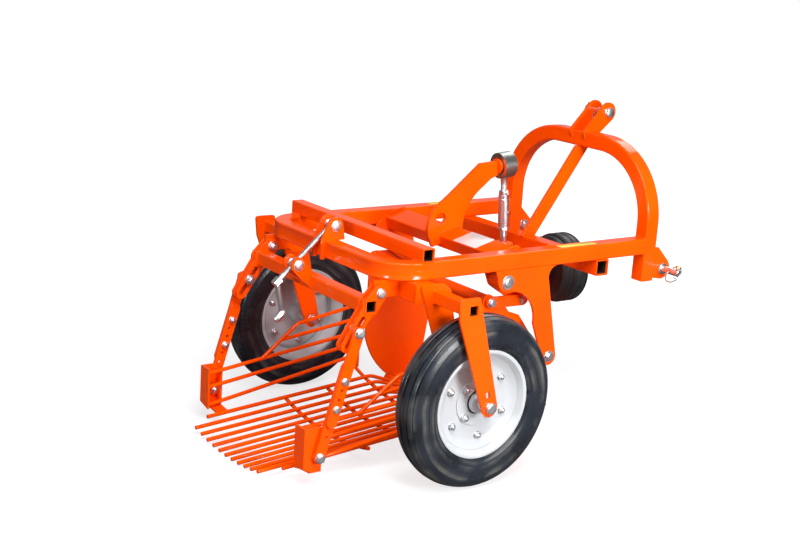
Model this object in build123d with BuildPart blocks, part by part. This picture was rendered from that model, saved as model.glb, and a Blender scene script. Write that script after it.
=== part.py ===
"""Single-row potato digger for a small tractor's three-point hitch.

+X is the direction of travel, +Y the machine's left, +Z up, millimetres.  Z = 0 is the
ground under the tyres.  X = 0 is the middle of the overall length, from the sieve's tail
to the front of the hitch lugs.  Right-hand pieces are drawn on the -Y side and mirrored in
the XZ plane.
"""

import os
from math import asin, atan2, cos, degrees, hypot, radians, sin, sqrt, tan

from build123d import *

os.makedirs("parts", exist_ok=True)

# ---------------------------------------------------------------- driving dimensions
# main frame: one square tube bent to a U, open end forward
FRAME_WIDTH = 700.0
FRAME_TOP = 625.0
FRAME_REAR = -405.0
FRAME_BEND = 120.0          # outer bend radius in plan
TUBE = 50.0
TUBE_WALL = 4.0
TUBE_CORNER = 6.0

# hitch arch: the same tube bent to an inverted U across the machine
ARCH_REAR = 573.5
ARCH_BOTTOM = FRAME_TOP - 138
ARCH_TOP = FRAME_TOP + 288
ARCH_SHOULDER = 245.0       # outer bend radius of the shoulders

TOOLBAR = 40.0
TOOLBAR_WALL = 3.0
TOOLBAR_REAR = -293.5

FRONT_CROSS_X = 225.0        # cross tube between the side tubes
LOWER_CROSS_X = 395.0       # cross tube under the side tubes
BRACE_WIDTH = 45.0
BRACE_THICK = 12.0

# category 1 hitch
PIN_SPREAD = 683.0
PIN_RADIUS = 11.0
PIN_X = 666.0
PIN_Z = FRAME_TOP - 104
PIN_LENGTH = 77.0          # from the lug's outer face to the pin's end
MAST_X = 666.0
MAST_Z = FRAME_TOP + 350
MAST_PIN_RADIUS = 9.5
EAR_GAP = 54.0
EAR_THICK = 8.0
EAR_WIDTH = 64.0
LUG_INNER_Y = 334.0
LUG_THICK = 8.0
LUG_RADIUS = 34.0

# wheels
AXLE_X = -178.5
WHEEL_RADIUS = 251.5
WHEEL_CENTRE_Y = 476.5
TYRE_WIDTH = 103.0
RIM_RADIUS = 157.0
RIM_WIDTH = 84.0
RIM_SHEET = 3.0
HUB_RADIUS = 30.0
HUB_LENGTH = 60.0
AXLE_RADIUS = 10.0
AXLE_CLEARANCE = 0.1
LEG_THICK = 8.0
INNER_LEG_Y = 381.0         # inner face of the inner leg
OUTER_LEG_Y = 541.0         # inner face of the outer leg
LEG_TOP_Z = FRAME_TOP - 51
LEG_END_RADIUS = 26.0
FORK_TUBE = 36.0
FORK_TUBE_X = -261.0
FORK_TUBE_Z = FRAME_TOP - 87

# side plates of the frame, flush with the outside of the tube
PLATE = 8.0
ROCKER_X = 21.0
ROCKER_Z = FRAME_TOP - 85
ROCKER_BOLT = 12.0
BODY_PIVOT_X = 207.0
BODY_PIVOT_Z = 291.0
BODY_BOLT = 10.0
PIVOT_END_RADIUS = 28.0

# rocker
ROCKER_PLATE_Y = 286.0      # inner face of the rocker's and the body's side plates
ROCKER_TILT = 15.4
BEAM_WIDTH = 80.0
BEAM_HEIGHT = 40.0
BEAM_WALL = 4.0
BEAM_X = 69.5
BEAM_Z = FRAME_TOP - 31
LEVER_THICK = 12.0
LEVER_TIP_X = 267.0
LEVER_TIP_Z = FRAME_TOP + 188
BOSS_RADIUS = 28.0
ARM_X = 123.0
ARM_Z = FRAME_TOP - 159
ARM_END_RADIUS = 20.0

# drive links between rocker arm and digging body
LINK_Y = 299.0
LINK_THICK = 8.0
LINK_REAR_X = 2.0
LINK_REAR_Z = FRAME_TOP - 156
LINK_WIDTH = 34.0
LINK_BOLT = 8.0

# connecting rod and power take-off
SHAFT_Z = FRAME_TOP - 170
SHAFT_X = 300.0              # middle of the eccentric
SHAFT_RADIUS = 17.4
SHAFT_CORE = 15.0
ECCENTRIC_THROW = 6.0
ECCENTRIC_RADIUS = 24.0
RING_RADIUS = 41.0
RING_BORE = 30.0
RING_LENGTH = 46.0
LEVER_PIN = 20.0
SLEEVE_RADIUS = 16.0
ROD_RADIUS = 8.5
SLEEVE_TOP = 718.0
SLEEVE_BOTTOM = 612.0
GUARD_FRONT = 571.0
GUARD_DEPTH = 96.0
GUARD_RADIUS = 113.0
GUARD_STEP = 7.0
GUARD_WALL = 3.0
BEARING_RADIUS = 38.0
FRONT_BEARING_X = 395.0
REAR_BEARING_X = 225.0
BEARING_LENGTH = 34.0

# digging body
SHARE_TIP_X = 483.0
SHARE_TIP_HALF = 66.0
SHARE_SHOULDER_X = 200.0
SHARE_REAR_X = 97.5
SHARE_THICK = 10.0
SHARE_RISE = 42.0
BODY_REAR_X = -25.0
HINGE_X = 80.0              # hinge of the sieve behind the share
HINGE_Z = 43.0
HINGE_PIN = 8.0
HINGE_SLEEVE = 12.0
BODY_TUBE = 24.0

# sieve
ROD = 6.0                   # radius of the sieve's and guards' rods
SLEEVE_HALF = 281.0
POST_X = -52.0
POST_Y = 289.0
POST_HEAD = 322.0
GUARD_TAPER = 24.5
GUARD_REAR_X = -615.0      # inner face of the tail brackets' rear flange
FINGERS = 13
FINGER_PITCH = 37.4
TROUGH_RADIUS = 930.0
TAIL_X = -695.0
TAIL_Z = 6.8                # rod centre at the tip of the middle finger
SIEVE_SLOPE = 4.5
SIEVE_BEND_X = -40.0
OUTER_TAIL_X = -637.0
CROSS_BAR_X = (POST_X, -200.0, -355.0)

# sieve tail: brackets, hangers and yoke
TAIL_PIVOT_X = -578.0
TAIL_PIVOT_Z = 93.0
TAIL_BOLT = 8.0
TAIL_PLAY = 1.8             # play of the hanger's lower hole
BRACKET_WEB_Y = 300.0
BRACKET_SHEET = 6.0
HANGER_X = -475.0           # hanger's top bolt
HANGER_Z = FRAME_TOP - 185
HANGER_LOWER_Y = 312.0
HANGER_THICK = 8.0
HANGER_WIDTH = 34.0
YOKE_X = -401.0
YOKE_Z = FRAME_TOP - 84
YOKE_TUBE = 40.0
YOKE_TUBE_X = -431.0
YOKE_TUBE_Z = FRAME_TOP - 119
YOKE_HALF = 314.0
ARM_INNER_Y = 281.0
ARM_OUTER_Y = 303.0
YOKE_LUG_Y = 292.0
YOKE_LUG_RADIUS = 16.0
YOKE_ARM_WIDTH = 36.0
SLOT_WIDTH = 19.0

# adjusting screw
TRUNNION_X = -371.0
TRUNNION_Z = FRAME_TOP + 42
TRUNNION_RADIUS = 14.0
CLEVIS_X = -491.0
CLEVIS_Z = FRAME_TOP - 65
EAR_HALF_GAP = 18.0
SCREW_EAR = 8.0
SCREW_RADIUS = 8.0
CRANK_REACH = 74.0          # from the clevis pin to the crank's hub
CRANK_DROP_X = 22.0
CRANK_DROP_Z = 95.0

GAP = 0.5                   # side clearance beside a pivot
WELD = 0.0                  # welded faces meet

HALF = FRAME_WIDTH / 2
FRAME_BOTTOM = FRAME_TOP - TUBE
SIDE_PLATE_Y = HALF - PLATE


# ---------------------------------------------------------------- small helpers
def keep(piece, name):
    """Label a finished piece and write its file."""
    piece.part.label = name
    export_step(piece.part, f"parts/{name}.step")


def right(distance):
    """XZ plane at a distance on the right-hand side; extruding goes outwards."""
    return Plane.XZ.offset(distance)


def hull_plate(circles, y_inner, thick, holes=()):
    """Plate whose outline is stretched round circles (x, z, radius), with round holes."""
    with BuildSketch(right(y_inner)) as outline:
        for x, z, radius in circles:
            with Locations((x, z)):
                Circle(radius)
        make_hull()
        for x, z, radius in holes:
            with Locations((x, z)):
                Circle(radius, mode=Mode.SUBTRACT)
    extrude(outline.sketch, amount=thick)


def cross_pin(x, z, radius, y_inner, y_outer, mode=Mode.ADD):
    """Round bar across the machine on the right-hand side."""
    with BuildSketch(right(y_inner)) as section:
        with Locations((x, z)):
            Circle(radius)
    extrude(section.sketch, amount=y_outer - y_inner, mode=mode)


def hex_head(x, z, across, y_inner, height):
    """Hexagon of a bolt head or a nut."""
    with BuildSketch(right(y_inner)) as section:
        with Locations((x, z)):
            RegularPolygon(across / 2, 6, major_radius=False)
    extrude(section.sketch, amount=height)


def square_ring(size, wall, corner):
    """Section of a square tube on the current sketch plane."""
    RectangleRounded(size, size, corner)
    RectangleRounded(size - 2 * wall, size - 2 * wall, max(corner - wall, 0.5), mode=Mode.SUBTRACT)


# ---------------------------------------------------------------- main frame
def main_frame():
    centre_radius = FRAME_BEND - TUBE / 2
    half_centre = HALF - TUBE / 2
    rear_centre = FRAME_REAR + TUBE / 2
    height = FRAME_TOP - TUBE / 2
    with BuildPart() as frame:
        with BuildLine():
            FilletPolyline(
                (ARCH_REAR, -half_centre, height),
                (rear_centre, -half_centre, height),
                (rear_centre, half_centre, height),
                (ARCH_REAR, half_centre, height),
                radius=centre_radius,
            )
        with BuildSketch(Plane((ARCH_REAR, -half_centre, height), x_dir=(0, 1, 0), z_dir=(-1, 0, 0))):
            square_ring(TUBE, TUBE_WALL, TUBE_CORNER)
        sweep()
    keep(frame, "main_frame")


def cross_tube(name, x, top, half_length, size, wall):
    """Square tube across the machine with open ends."""
    with BuildPart() as tube:
        with BuildSketch(Plane.XZ.offset(-half_length)):
            with Locations((x, top - size / 2)):
                square_ring(size, wall, wall)
        extrude(amount=2 * half_length)
    keep(tube, name)


def hitch_arch():
    centre_radius = ARCH_SHOULDER - TUBE / 2
    half_centre = HALF - TUBE / 2
    x = ARCH_REAR + TUBE / 2
    with BuildPart() as arch:
        with BuildLine():
            FilletPolyline(
                (x, -half_centre, ARCH_BOTTOM),
                (x, -half_centre, ARCH_TOP - TUBE / 2),
                (x, half_centre, ARCH_TOP - TUBE / 2),
                (x, half_centre, ARCH_BOTTOM),
                radius=centre_radius,
            )
        with BuildSketch(Plane((x, -half_centre, ARCH_BOTTOM), x_dir=(1, 0, 0), z_dir=(0, 0, 1))):
            square_ring(TUBE, TUBE_WALL, TUBE_CORNER)
        sweep()
    keep(arch, "hitch_arch")


def mast():
    arch_front = ARCH_REAR + TUBE
    foot_x = ARCH_REAR + TUBE / 2
    with BuildPart() as ears:
        with BuildSketch(right(EAR_GAP / 2)):
            with Locations((MAST_X, MAST_Z)):
                Circle(EAR_WIDTH / 2)
            with Locations((foot_x - 6, ARCH_TOP - 6)):
                Circle(EAR_WIDTH / 2 - 6)
            make_hull()
            with Locations((foot_x, ARCH_TOP - TUBE / 2)):
                Rectangle(TUBE, TUBE, mode=Mode.SUBTRACT)
            with Locations((foot_x, ARCH_TOP - TUBE)):
                Rectangle(TUBE, TUBE, mode=Mode.SUBTRACT)
            with Locations((MAST_X, MAST_Z)):
                Circle(MAST_PIN_RADIUS + AXLE_CLEARANCE, mode=Mode.SUBTRACT)
        extrude(amount=EAR_THICK)
        mirror(about=Plane.XZ)
    keep(ears, "mast_ears")

    outer = EAR_GAP / 2 + EAR_THICK
    with BuildPart() as pin:
        cross_pin(MAST_X, MAST_Z, MAST_PIN_RADIUS, -outer - 14, outer + 2)
        hex_head(MAST_X, MAST_Z, 30, outer + 2, 10)
    keep(pin, "mast_pin")

    bottom = (LOWER_CROSS_X - 4, FRAME_BOTTOM)
    top = (ARCH_REAR + TUBE / 2 - 4, ARCH_TOP - TUBE)
    angle = degrees(atan2(top[1] - bottom[1], top[0] - bottom[0]))
    length = hypot(top[0] - bottom[0], top[1] - bottom[1])
    middle = ((top[0] + bottom[0]) / 2, (top[1] + bottom[1]) / 2)
    with BuildPart() as brace:
        with BuildSketch(Plane.XZ.offset(-BRACE_THICK / 2)):
            with Locations(Location((middle[0], middle[1], 0), (0, 0, angle))):
                Rectangle(length + 2 * BRACE_WIDTH, BRACE_WIDTH)
        extrude(amount=BRACE_THICK)
        split(bisect_by=Plane.XY.offset(bottom[1]), keep=Keep.TOP)
        split(bisect_by=Plane.XY.offset(top[1]), keep=Keep.BOTTOM)
    keep(brace, "mast_brace")


def hitch_lugs():
    face = LUG_INNER_Y
    arch_front = ARCH_REAR + TUBE
    with BuildPart() as lugs:
        with BuildSketch(right(face)):
            with Locations((PIN_X, PIN_Z)):
                Circle(LUG_RADIUS)
            with Locations((arch_front + 10, PIN_Z + 52)):
                Rectangle(20, 36)
            with Locations((arch_front + 10, PIN_Z - 12)):
                Rectangle(20, 30)
            make_hull()
            with Locations((PIN_X, PIN_Z)):
                Circle(PIN_RADIUS + AXLE_CLEARANCE, mode=Mode.SUBTRACT)
        extrude(amount=LUG_THICK)
        mirror(about=Plane.XZ)
    keep(lugs, "hitch_lugs")

    outer = face + LUG_THICK
    with BuildPart() as pins:
        cross_pin(PIN_X, PIN_Z, PIN_RADIUS, face - 20, outer + PIN_LENGTH)
        cross_pin(PIN_X, PIN_Z, PIN_RADIUS + 5, outer, outer + 8)
        hex_head(PIN_X, PIN_Z, 34, face - 18, 18)
        mirror(about=Plane.XZ)
    keep(pins, "hitch_pins")


# ---------------------------------------------------------------- frame side plates
def side_plates():
    end_x, end_z, end_r = BODY_PIVOT_X, BODY_PIVOT_Z, PIVOT_END_RADIUS
    with BuildPart() as plate:
        with BuildSketch(right(SIDE_PLATE_Y)):
            with BuildLine():
                Polyline((ROCKER_X - 46, FRAME_BOTTOM), (BODY_PIVOT_X + 4, FRAME_BOTTOM))
                ThreePointArc((BODY_PIVOT_X + 4, FRAME_BOTTOM),
                              (BODY_PIVOT_X - 22, FRAME_BOTTOM - 12),
                              (BODY_PIVOT_X - 28, FRAME_BOTTOM - 38))
                Line((BODY_PIVOT_X - 28, FRAME_BOTTOM - 38), (end_x + end_r, end_z))
                ThreePointArc((end_x + end_r, end_z), (end_x, end_z - end_r), (end_x - end_r, end_z))
                Line((end_x - end_r, end_z), (ROCKER_X + 113, ROCKER_Z - 138))
                ThreePointArc((ROCKER_X + 113, ROCKER_Z - 138), (ROCKER_X + 84, ROCKER_Z - 58),
                              (ROCKER_X + 32, ROCKER_Z - 31))
                Line((ROCKER_X + 32, ROCKER_Z - 31), (ROCKER_X, ROCKER_Z - 31))
                ThreePointArc((ROCKER_X, ROCKER_Z - 31), (ROCKER_X - 24, ROCKER_Z - 20),
                              (ROCKER_X - 36, ROCKER_Z + 8))
                Line((ROCKER_X - 36, ROCKER_Z + 8), (ROCKER_X - 46, FRAME_BOTTOM))
            make_face()
            with Locations((ROCKER_X, ROCKER_Z)):
                Circle(ROCKER_BOLT + AXLE_CLEARANCE, mode=Mode.SUBTRACT)
            with Locations((end_x, end_z)):
                Circle(BODY_BOLT + AXLE_CLEARANCE, mode=Mode.SUBTRACT)
        extrude(amount=PLATE)
        mirror(about=Plane.XZ)
    keep(plate, "side_plates")

    with BuildPart() as bolts:
        for x, z, shank, head, washer in (
            (ROCKER_X, ROCKER_Z, ROCKER_BOLT, 30, 17),
            (BODY_PIVOT_X, BODY_PIVOT_Z, BODY_BOLT, 26, 14),
        ):
            cross_pin(x, z, shank, ROCKER_PLATE_Y, HALF + 1)
            cross_pin(x, z, washer, HALF, HALF + 3)
            hex_head(x, z, head, HALF + 3, 9)
        mirror(about=Plane.XZ)
    keep(bolts, "pivot_bolts")


# ---------------------------------------------------------------- rear lugs and wheels
def rear_lugs():
    lug_bottom = FRAME_BOTTOM - 62
    front = FORK_TUBE_X - 4
    with BuildPart() as lugs:
        with BuildSketch(right(YOKE_LUG_Y)):
            with BuildLine():
                end = YOKE_LUG_RADIUS
                Polyline((YOKE_X - end, FRAME_BOTTOM), (front, FRAME_BOTTOM), (front, lug_bottom),
                         (front - 52, lug_bottom), (front - 70, YOKE_Z - end), (YOKE_X, YOKE_Z - end))
                ThreePointArc((YOKE_X, YOKE_Z - end), (YOKE_X - end * 0.7071, YOKE_Z - end * 0.7071),
                              (YOKE_X - end, YOKE_Z))
                Line((YOKE_X - end, YOKE_Z), (YOKE_X - end, FRAME_BOTTOM))
            make_face()
            with Locations((YOKE_X, YOKE_Z)):
                Circle(8 + AXLE_CLEARANCE, mode=Mode.SUBTRACT)
        extrude(amount=PLATE)
        with BuildSketch(right(YOKE_LUG_Y + PLATE)):
            with Locations((FORK_TUBE_X - 38, FRAME_BOTTOM - 29)):
                RectangleRounded(58, 58, 4)
                RectangleRounded(50, 50, 1, mode=Mode.SUBTRACT)
        extrude(amount=INNER_LEG_Y - PLATE - YOKE_LUG_Y - 8)
        with BuildSketch(right(INNER_LEG_Y - 8)):
            with Locations((FORK_TUBE_X - 38, FRAME_BOTTOM - 29)):
                RectangleRounded(66, 58, 4)
        extrude(amount=8)
        mirror(about=Plane.XZ)
    keep(lugs, "rear_brackets")

    with BuildPart() as bolts:
        cross_pin(YOKE_X, YOKE_Z, 8, ARM_INNER_Y - 3, ARM_OUTER_Y + PLATE + 3)
        hex_head(YOKE_X, YOKE_Z, 24, ARM_OUTER_Y + PLATE + 2, 9)
        hex_head(YOKE_X, YOKE_Z, 24, ARM_INNER_Y - 14, 12)
        mirror(about=Plane.XZ)
    keep(bolts, "yoke_bolts")


def wheel_forks():
    outer_leg = [(FORK_TUBE_X - 42, LEG_TOP_Z - 8, 8), (FORK_TUBE_X + 13, LEG_TOP_Z - 8, 8),
                 (FORK_TUBE_X - 38, FORK_TUBE_Z - 26, 6)]
    inner_leg = [(FORK_TUBE_X - 50, LEG_TOP_Z - 8, 8), (FORK_TUBE_X + 15, LEG_TOP_Z - 8, 8),
                 (FORK_TUBE_X + 32, FORK_TUBE_Z + 9, 12)]
    axle = (AXLE_X, WHEEL_RADIUS, LEG_END_RADIUS)
    with BuildPart() as fork:
        hull_plate(inner_leg + [axle], INNER_LEG_Y, LEG_THICK,
                   [(AXLE_X, WHEEL_RADIUS, AXLE_RADIUS + AXLE_CLEARANCE)])
        hull_plate(outer_leg + [axle], OUTER_LEG_Y, LEG_THICK,
                   [(AXLE_X, WHEEL_RADIUS, AXLE_RADIUS + AXLE_CLEARANCE)])
        with BuildSketch(right(INNER_LEG_Y + LEG_THICK)):
            with Locations((FORK_TUBE_X, FORK_TUBE_Z)):
                square_ring(FORK_TUBE, 4, 4)
        extrude(amount=OUTER_LEG_Y - INNER_LEG_Y - LEG_THICK)
        with BuildSketch(right(OUTER_LEG_Y)):
            with Locations((FORK_TUBE_X, FORK_TUBE_Z)):
                RectangleRounded(FORK_TUBE - 8, FORK_TUBE - 8, 1)
        extrude(amount=LEG_THICK, mode=Mode.SUBTRACT)
        with BuildSketch(right(OUTER_LEG_Y)):
            with Locations(Location((AXLE_X - 10, WHEEL_RADIUS + 38, 0), (0, 0, 106))):
                SlotOverall(22, 13)
        extrude(amount=LEG_THICK, mode=Mode.SUBTRACT)
        mirror(about=Plane.XZ)
    keep(fork, "wheel_forks")

    with BuildPart() as axle_bolt:
        cross_pin(AXLE_X, WHEEL_RADIUS, AXLE_RADIUS, INNER_LEG_Y - 14, OUTER_LEG_Y + LEG_THICK)
        hex_head(AXLE_X, WHEEL_RADIUS, 30, OUTER_LEG_Y + LEG_THICK, 10)
        hex_head(AXLE_X, WHEEL_RADIUS, 30, INNER_LEG_Y - 13, 13)
        cross_pin(AXLE_X, WHEEL_RADIUS, 15, INNER_LEG_Y + LEG_THICK,
                  WHEEL_CENTRE_Y - HUB_LENGTH / 2 - GAP)
        cross_pin(AXLE_X, WHEEL_RADIUS, 15, WHEEL_CENTRE_Y + HUB_LENGTH / 2 + GAP, OUTER_LEG_Y)
        mirror(about=Plane.XZ)
    keep(axle_bolt, "wheel_axles")


def wheels():
    half = TYRE_WIDTH / 2
    seat = RIM_RADIUS - 13
    flange_y = RIM_WIDTH / 2
    for side, centre in (("r", -WHEEL_CENTRE_Y), ("l", WHEEL_CENTRE_Y)):
        plane = Plane((AXLE_X, centre, WHEEL_RADIUS), x_dir=(0, 1, 0), z_dir=(1, 0, 0))
        out = -1 if side == "r" else 1
        with BuildPart() as tyre:
            with BuildSketch(plane):
                with BuildLine():
                    crown = WHEEL_RADIUS
                    Polyline((-flange_y + 3.3, RIM_RADIUS - 9), (-flange_y + 3.3, RIM_RADIUS + 2))
                    ThreePointArc((-flange_y + 3.3, RIM_RADIUS + 2), (-half, (RIM_RADIUS + crown) / 2),
                                  (-half + 17, crown - 13))
                    ThreePointArc((-half + 17, crown - 13), (0, crown), (half - 17, crown - 13))
                    ThreePointArc((half - 17, crown - 13), (half, (RIM_RADIUS + crown) / 2),
                                  (flange_y - 3.3, RIM_RADIUS + 2))
                    Polyline((flange_y - 3.3, RIM_RADIUS + 2), (flange_y - 3.3, RIM_RADIUS - 9),
                             (-flange_y + 3.3, RIM_RADIUS - 9))
                make_face()
            revolve(axis=Axis((AXLE_X, 0, WHEEL_RADIUS), (0, 1, 0)))
        keep(tyre, f"tyre_{side}")

        with BuildPart() as rim:
            with BuildSketch(plane):
                with BuildLine():
                    Polyline((-flange_y, RIM_RADIUS), (-flange_y, RIM_RADIUS - 12),
                             (-14, RIM_RADIUS - 30), (14, RIM_RADIUS - 30), (flange_y, RIM_RADIUS - 12),
                             (flange_y, RIM_RADIUS), (flange_y - RIM_SHEET, RIM_RADIUS),
                             (flange_y - RIM_SHEET, RIM_RADIUS - 10.5), (13.5, RIM_RADIUS - 27),
                             (-13.5, RIM_RADIUS - 27), (-flange_y + RIM_SHEET, RIM_RADIUS - 10.5),
                             (-flange_y + RIM_SHEET, RIM_RADIUS), (-flange_y, RIM_RADIUS))
                make_face()
                with BuildLine():
                    Polyline((out * 10, RIM_RADIUS - 29), (out * 10, HUB_RADIUS - 6),
                             (out * 5, HUB_RADIUS - 6), (out * 5, RIM_RADIUS - 29), (out * 10, RIM_RADIUS - 29))
                make_face()
            revolve(axis=Axis((AXLE_X, 0, WHEEL_RADIUS), (0, 1, 0)))
            with BuildSketch(Plane.XZ.offset(-centre - HUB_LENGTH / 2)):
                with Locations((AXLE_X, WHEEL_RADIUS)):
                    Circle(HUB_RADIUS)
                    Circle(AXLE_RADIUS + AXLE_CLEARANCE, mode=Mode.SUBTRACT)
            extrude(amount=HUB_LENGTH)
        keep(rim, f"rim_{side}")


# ---------------------------------------------------------------- rocker
def rocker():
    plate_y = ROCKER_PLATE_Y
    tilt = radians(ROCKER_TILT)
    with BuildPart() as beam:
        with BuildSketch(Plane.XZ.offset(-plate_y)):
            with Locations(Location((BEAM_X, BEAM_Z, 0), (0, 0, ROCKER_TILT))):
                RectangleRounded(BEAM_WIDTH, BEAM_HEIGHT, 4)
                Rectangle(BEAM_WIDTH - 2 * BEAM_WALL, BEAM_HEIGHT - 2 * BEAM_WALL, mode=Mode.SUBTRACT)
        extrude(amount=2 * plate_y)
    keep(beam, "rocker_beam")

    half_w = BEAM_WIDTH / 2
    top = BEAM_HEIGHT / 2
    corner = [(BEAM_X + sx * half_w * cos(tilt) - top * sin(tilt),
               BEAM_Z + sx * half_w * sin(tilt) + top * cos(tilt), 4) for sx in (-1, 1)]
    with BuildPart() as plates:
        hull_plate(corner + [(ROCKER_X - 30, ROCKER_Z + 20, 8), (ROCKER_X, ROCKER_Z, BOSS_RADIUS)],
                   plate_y, PLATE)
        hull_plate([(ROCKER_X, ROCKER_Z, BOSS_RADIUS), (ARM_X, ARM_Z, ARM_END_RADIUS)], plate_y, PLATE)
        cross_pin(ROCKER_X, ROCKER_Z, BOSS_RADIUS, plate_y + PLATE, SIDE_PLATE_Y - GAP)
        cross_pin(ROCKER_X, ROCKER_Z, ROCKER_BOLT + AXLE_CLEARANCE, plate_y, SIDE_PLATE_Y, Mode.SUBTRACT)
        mirror(about=Plane.XZ)
    keep(plates, "rocker_plates")

    with BuildPart() as pins:
        cross_pin(ARM_X, ARM_Z, LINK_BOLT, plate_y + PLATE, LINK_Y + LINK_THICK + 1)
        hex_head(ARM_X, ARM_Z, 24, LINK_Y + LINK_THICK + GAP, 8)
        mirror(about=Plane.XZ)
    keep(pins, "arm_pins")

    tip = LEVER_TIP_X - RING_LENGTH / 2 - 4
    lean = atan2(SHAFT_X - LEVER_TIP_X, LEVER_TIP_Z - SHAFT_Z)
    with BuildPart() as lever:
        with BuildSketch(Plane.XZ.offset(-LEVER_THICK / 2)):
            with BuildLine():
                Line((ROCKER_X + 92, BEAM_Z + 6), (ROCKER_X + 92, BEAM_Z + 31))
                ThreePointArc((ROCKER_X + 92, BEAM_Z + 31), (ROCKER_X + 107, BEAM_Z + 91),
                              (ROCKER_X + 157, BEAM_Z + 150))
                Line((ROCKER_X + 157, BEAM_Z + 150), (tip - 27, LEVER_TIP_Z - 42))
                Line((tip - 27, LEVER_TIP_Z - 42), (tip, LEVER_TIP_Z - 30))
                Line((tip, LEVER_TIP_Z - 30), (tip, LEVER_TIP_Z + 15))
                Line((tip, LEVER_TIP_Z + 15), (tip - 72, LEVER_TIP_Z + 9))
                Line((tip - 72, LEVER_TIP_Z + 9), (ROCKER_X + 34, BEAM_Z + 136))
                Line((ROCKER_X + 34, BEAM_Z + 136), (ROCKER_X - 17, BEAM_Z + 98))
                ThreePointArc((ROCKER_X - 17, BEAM_Z + 98), (ROCKER_X - 40, BEAM_Z + 53),
                              (ROCKER_X - 37, BEAM_Z + 8))
                Line((ROCKER_X - 37, BEAM_Z + 8), (ROCKER_X - 20, BEAM_Z - 25))
                Line((ROCKER_X - 20, BEAM_Z - 25), (ROCKER_X + 92, BEAM_Z + 6))
            make_face()
            with Locations(Location((BEAM_X, BEAM_Z, 0), (0, 0, ROCKER_TILT))):
                Rectangle(BEAM_WIDTH, BEAM_HEIGHT, mode=Mode.SUBTRACT)
            with Locations((ROCKER_X + 5, BEAM_Z + 64)):
                Circle(18.5, mode=Mode.SUBTRACT)
        extrude(amount=LEVER_THICK)
        pin_plane = Plane((LEVER_TIP_X, 0, LEVER_TIP_Z), x_dir=(0, 1, 0), z_dir=(cos(lean), 0, sin(lean)))
        with BuildSketch(pin_plane.offset(-32)):
            Circle(24)
        extrude(amount=32 - RING_LENGTH / 2 - 3)
        with BuildSketch(pin_plane.offset(-RING_LENGTH / 2 - 5)):
            Circle(LEVER_PIN)
        extrude(amount=RING_LENGTH + 9)
    keep(lever, "rocker_lever")


# ---------------------------------------------------------------- connecting rod
def connecting_rod():
    """Drawn upright with the ring's middle at the origin, then leaned and lifted into place."""
    reach = hypot(SHAFT_X - LEVER_TIP_X, LEVER_TIP_Z - SHAFT_Z)
    lean = degrees(atan2(SHAFT_X - LEVER_TIP_X, LEVER_TIP_Z - SHAFT_Z))
    place = Location((LEVER_TIP_X, 0, LEVER_TIP_Z), (0, -lean, 0))
    sleeve_top = SLEEVE_TOP - LEVER_TIP_Z
    sleeve_bottom = SLEEVE_BOTTOM - LEVER_TIP_Z
    with BuildPart() as ring:
        with BuildSketch(Plane.YZ.offset(-RING_LENGTH / 2)):
            Circle(RING_RADIUS)
            Circle(RING_BORE, mode=Mode.SUBTRACT)
        extrude(amount=RING_LENGTH)
        with BuildSketch(Plane.YZ.offset(-RING_LENGTH / 2 + 3)):
            Circle(RING_BORE)
            Circle(LEVER_PIN + 0.4, mode=Mode.SUBTRACT)
        extrude(amount=RING_LENGTH - 6)
    with BuildPart() as placed:
        add(ring.part.moved(place))
    keep(placed, "conrod_ring")

    big_bore = ECCENTRIC_RADIUS + 2 * ECCENTRIC_THROW + 1.5
    big_outer = big_bore + 13
    neck_top = big_outer + 44 - reach
    with BuildPart() as rods:
        for low, high in ((sleeve_top - 30, -sqrt(RING_RADIUS ** 2 - ROD_RADIUS ** 2) + 0.2),
                          (neck_top, sleeve_bottom + 30)):
            with BuildSketch(Plane.XY.offset(low)):
                Circle(ROD_RADIUS)
            extrude(amount=high - low)
    with BuildPart() as trimmed:
        add(rods.part)
        with BuildSketch(Plane.YZ.offset(-RING_LENGTH / 2)):
            Circle(RING_RADIUS)
        extrude(amount=RING_LENGTH, mode=Mode.SUBTRACT)
    with BuildPart() as placed:
        add(trimmed.part.moved(place))
    keep(placed, "conrod_rods")

    with BuildPart() as sleeve:
        with BuildSketch(Plane.XY.offset(sleeve_bottom)):
            Circle(SLEEVE_RADIUS)
            Circle(ROD_RADIUS + 0.04, mode=Mode.SUBTRACT)
        extrude(amount=sleeve_top - sleeve_bottom)
        with BuildSketch(Plane.XZ.offset(-SLEEVE_RADIUS)):
            with Locations((0, (sleeve_top + sleeve_bottom) / 2)):
                Circle(5)
        extrude(amount=2 * SLEEVE_RADIUS, mode=Mode.SUBTRACT)
    with BuildPart() as placed:
        add(sleeve.part.moved(place))
    keep(placed, "conrod_sleeve")

    with BuildPart() as neck:
        with BuildSketch(Plane.XY.offset(big_outer - 6 - reach)):
            Circle(18)
        extrude(amount=neck_top - big_outer + 6 + reach)
    with BuildPart() as big_end:
        with BuildSketch(Plane.YZ.offset(SHAFT_X - 18)):
            with Locations((0, SHAFT_Z)):
                Circle(big_outer)
        extrude(amount=36)
        add(neck.part.moved(place))
        with BuildSketch(Plane.YZ.offset(SHAFT_X - 18)):
            with Locations((0, SHAFT_Z)):
                Circle(big_bore)
        extrude(amount=36, mode=Mode.SUBTRACT)
    keep(big_end, "conrod_big_end")


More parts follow.
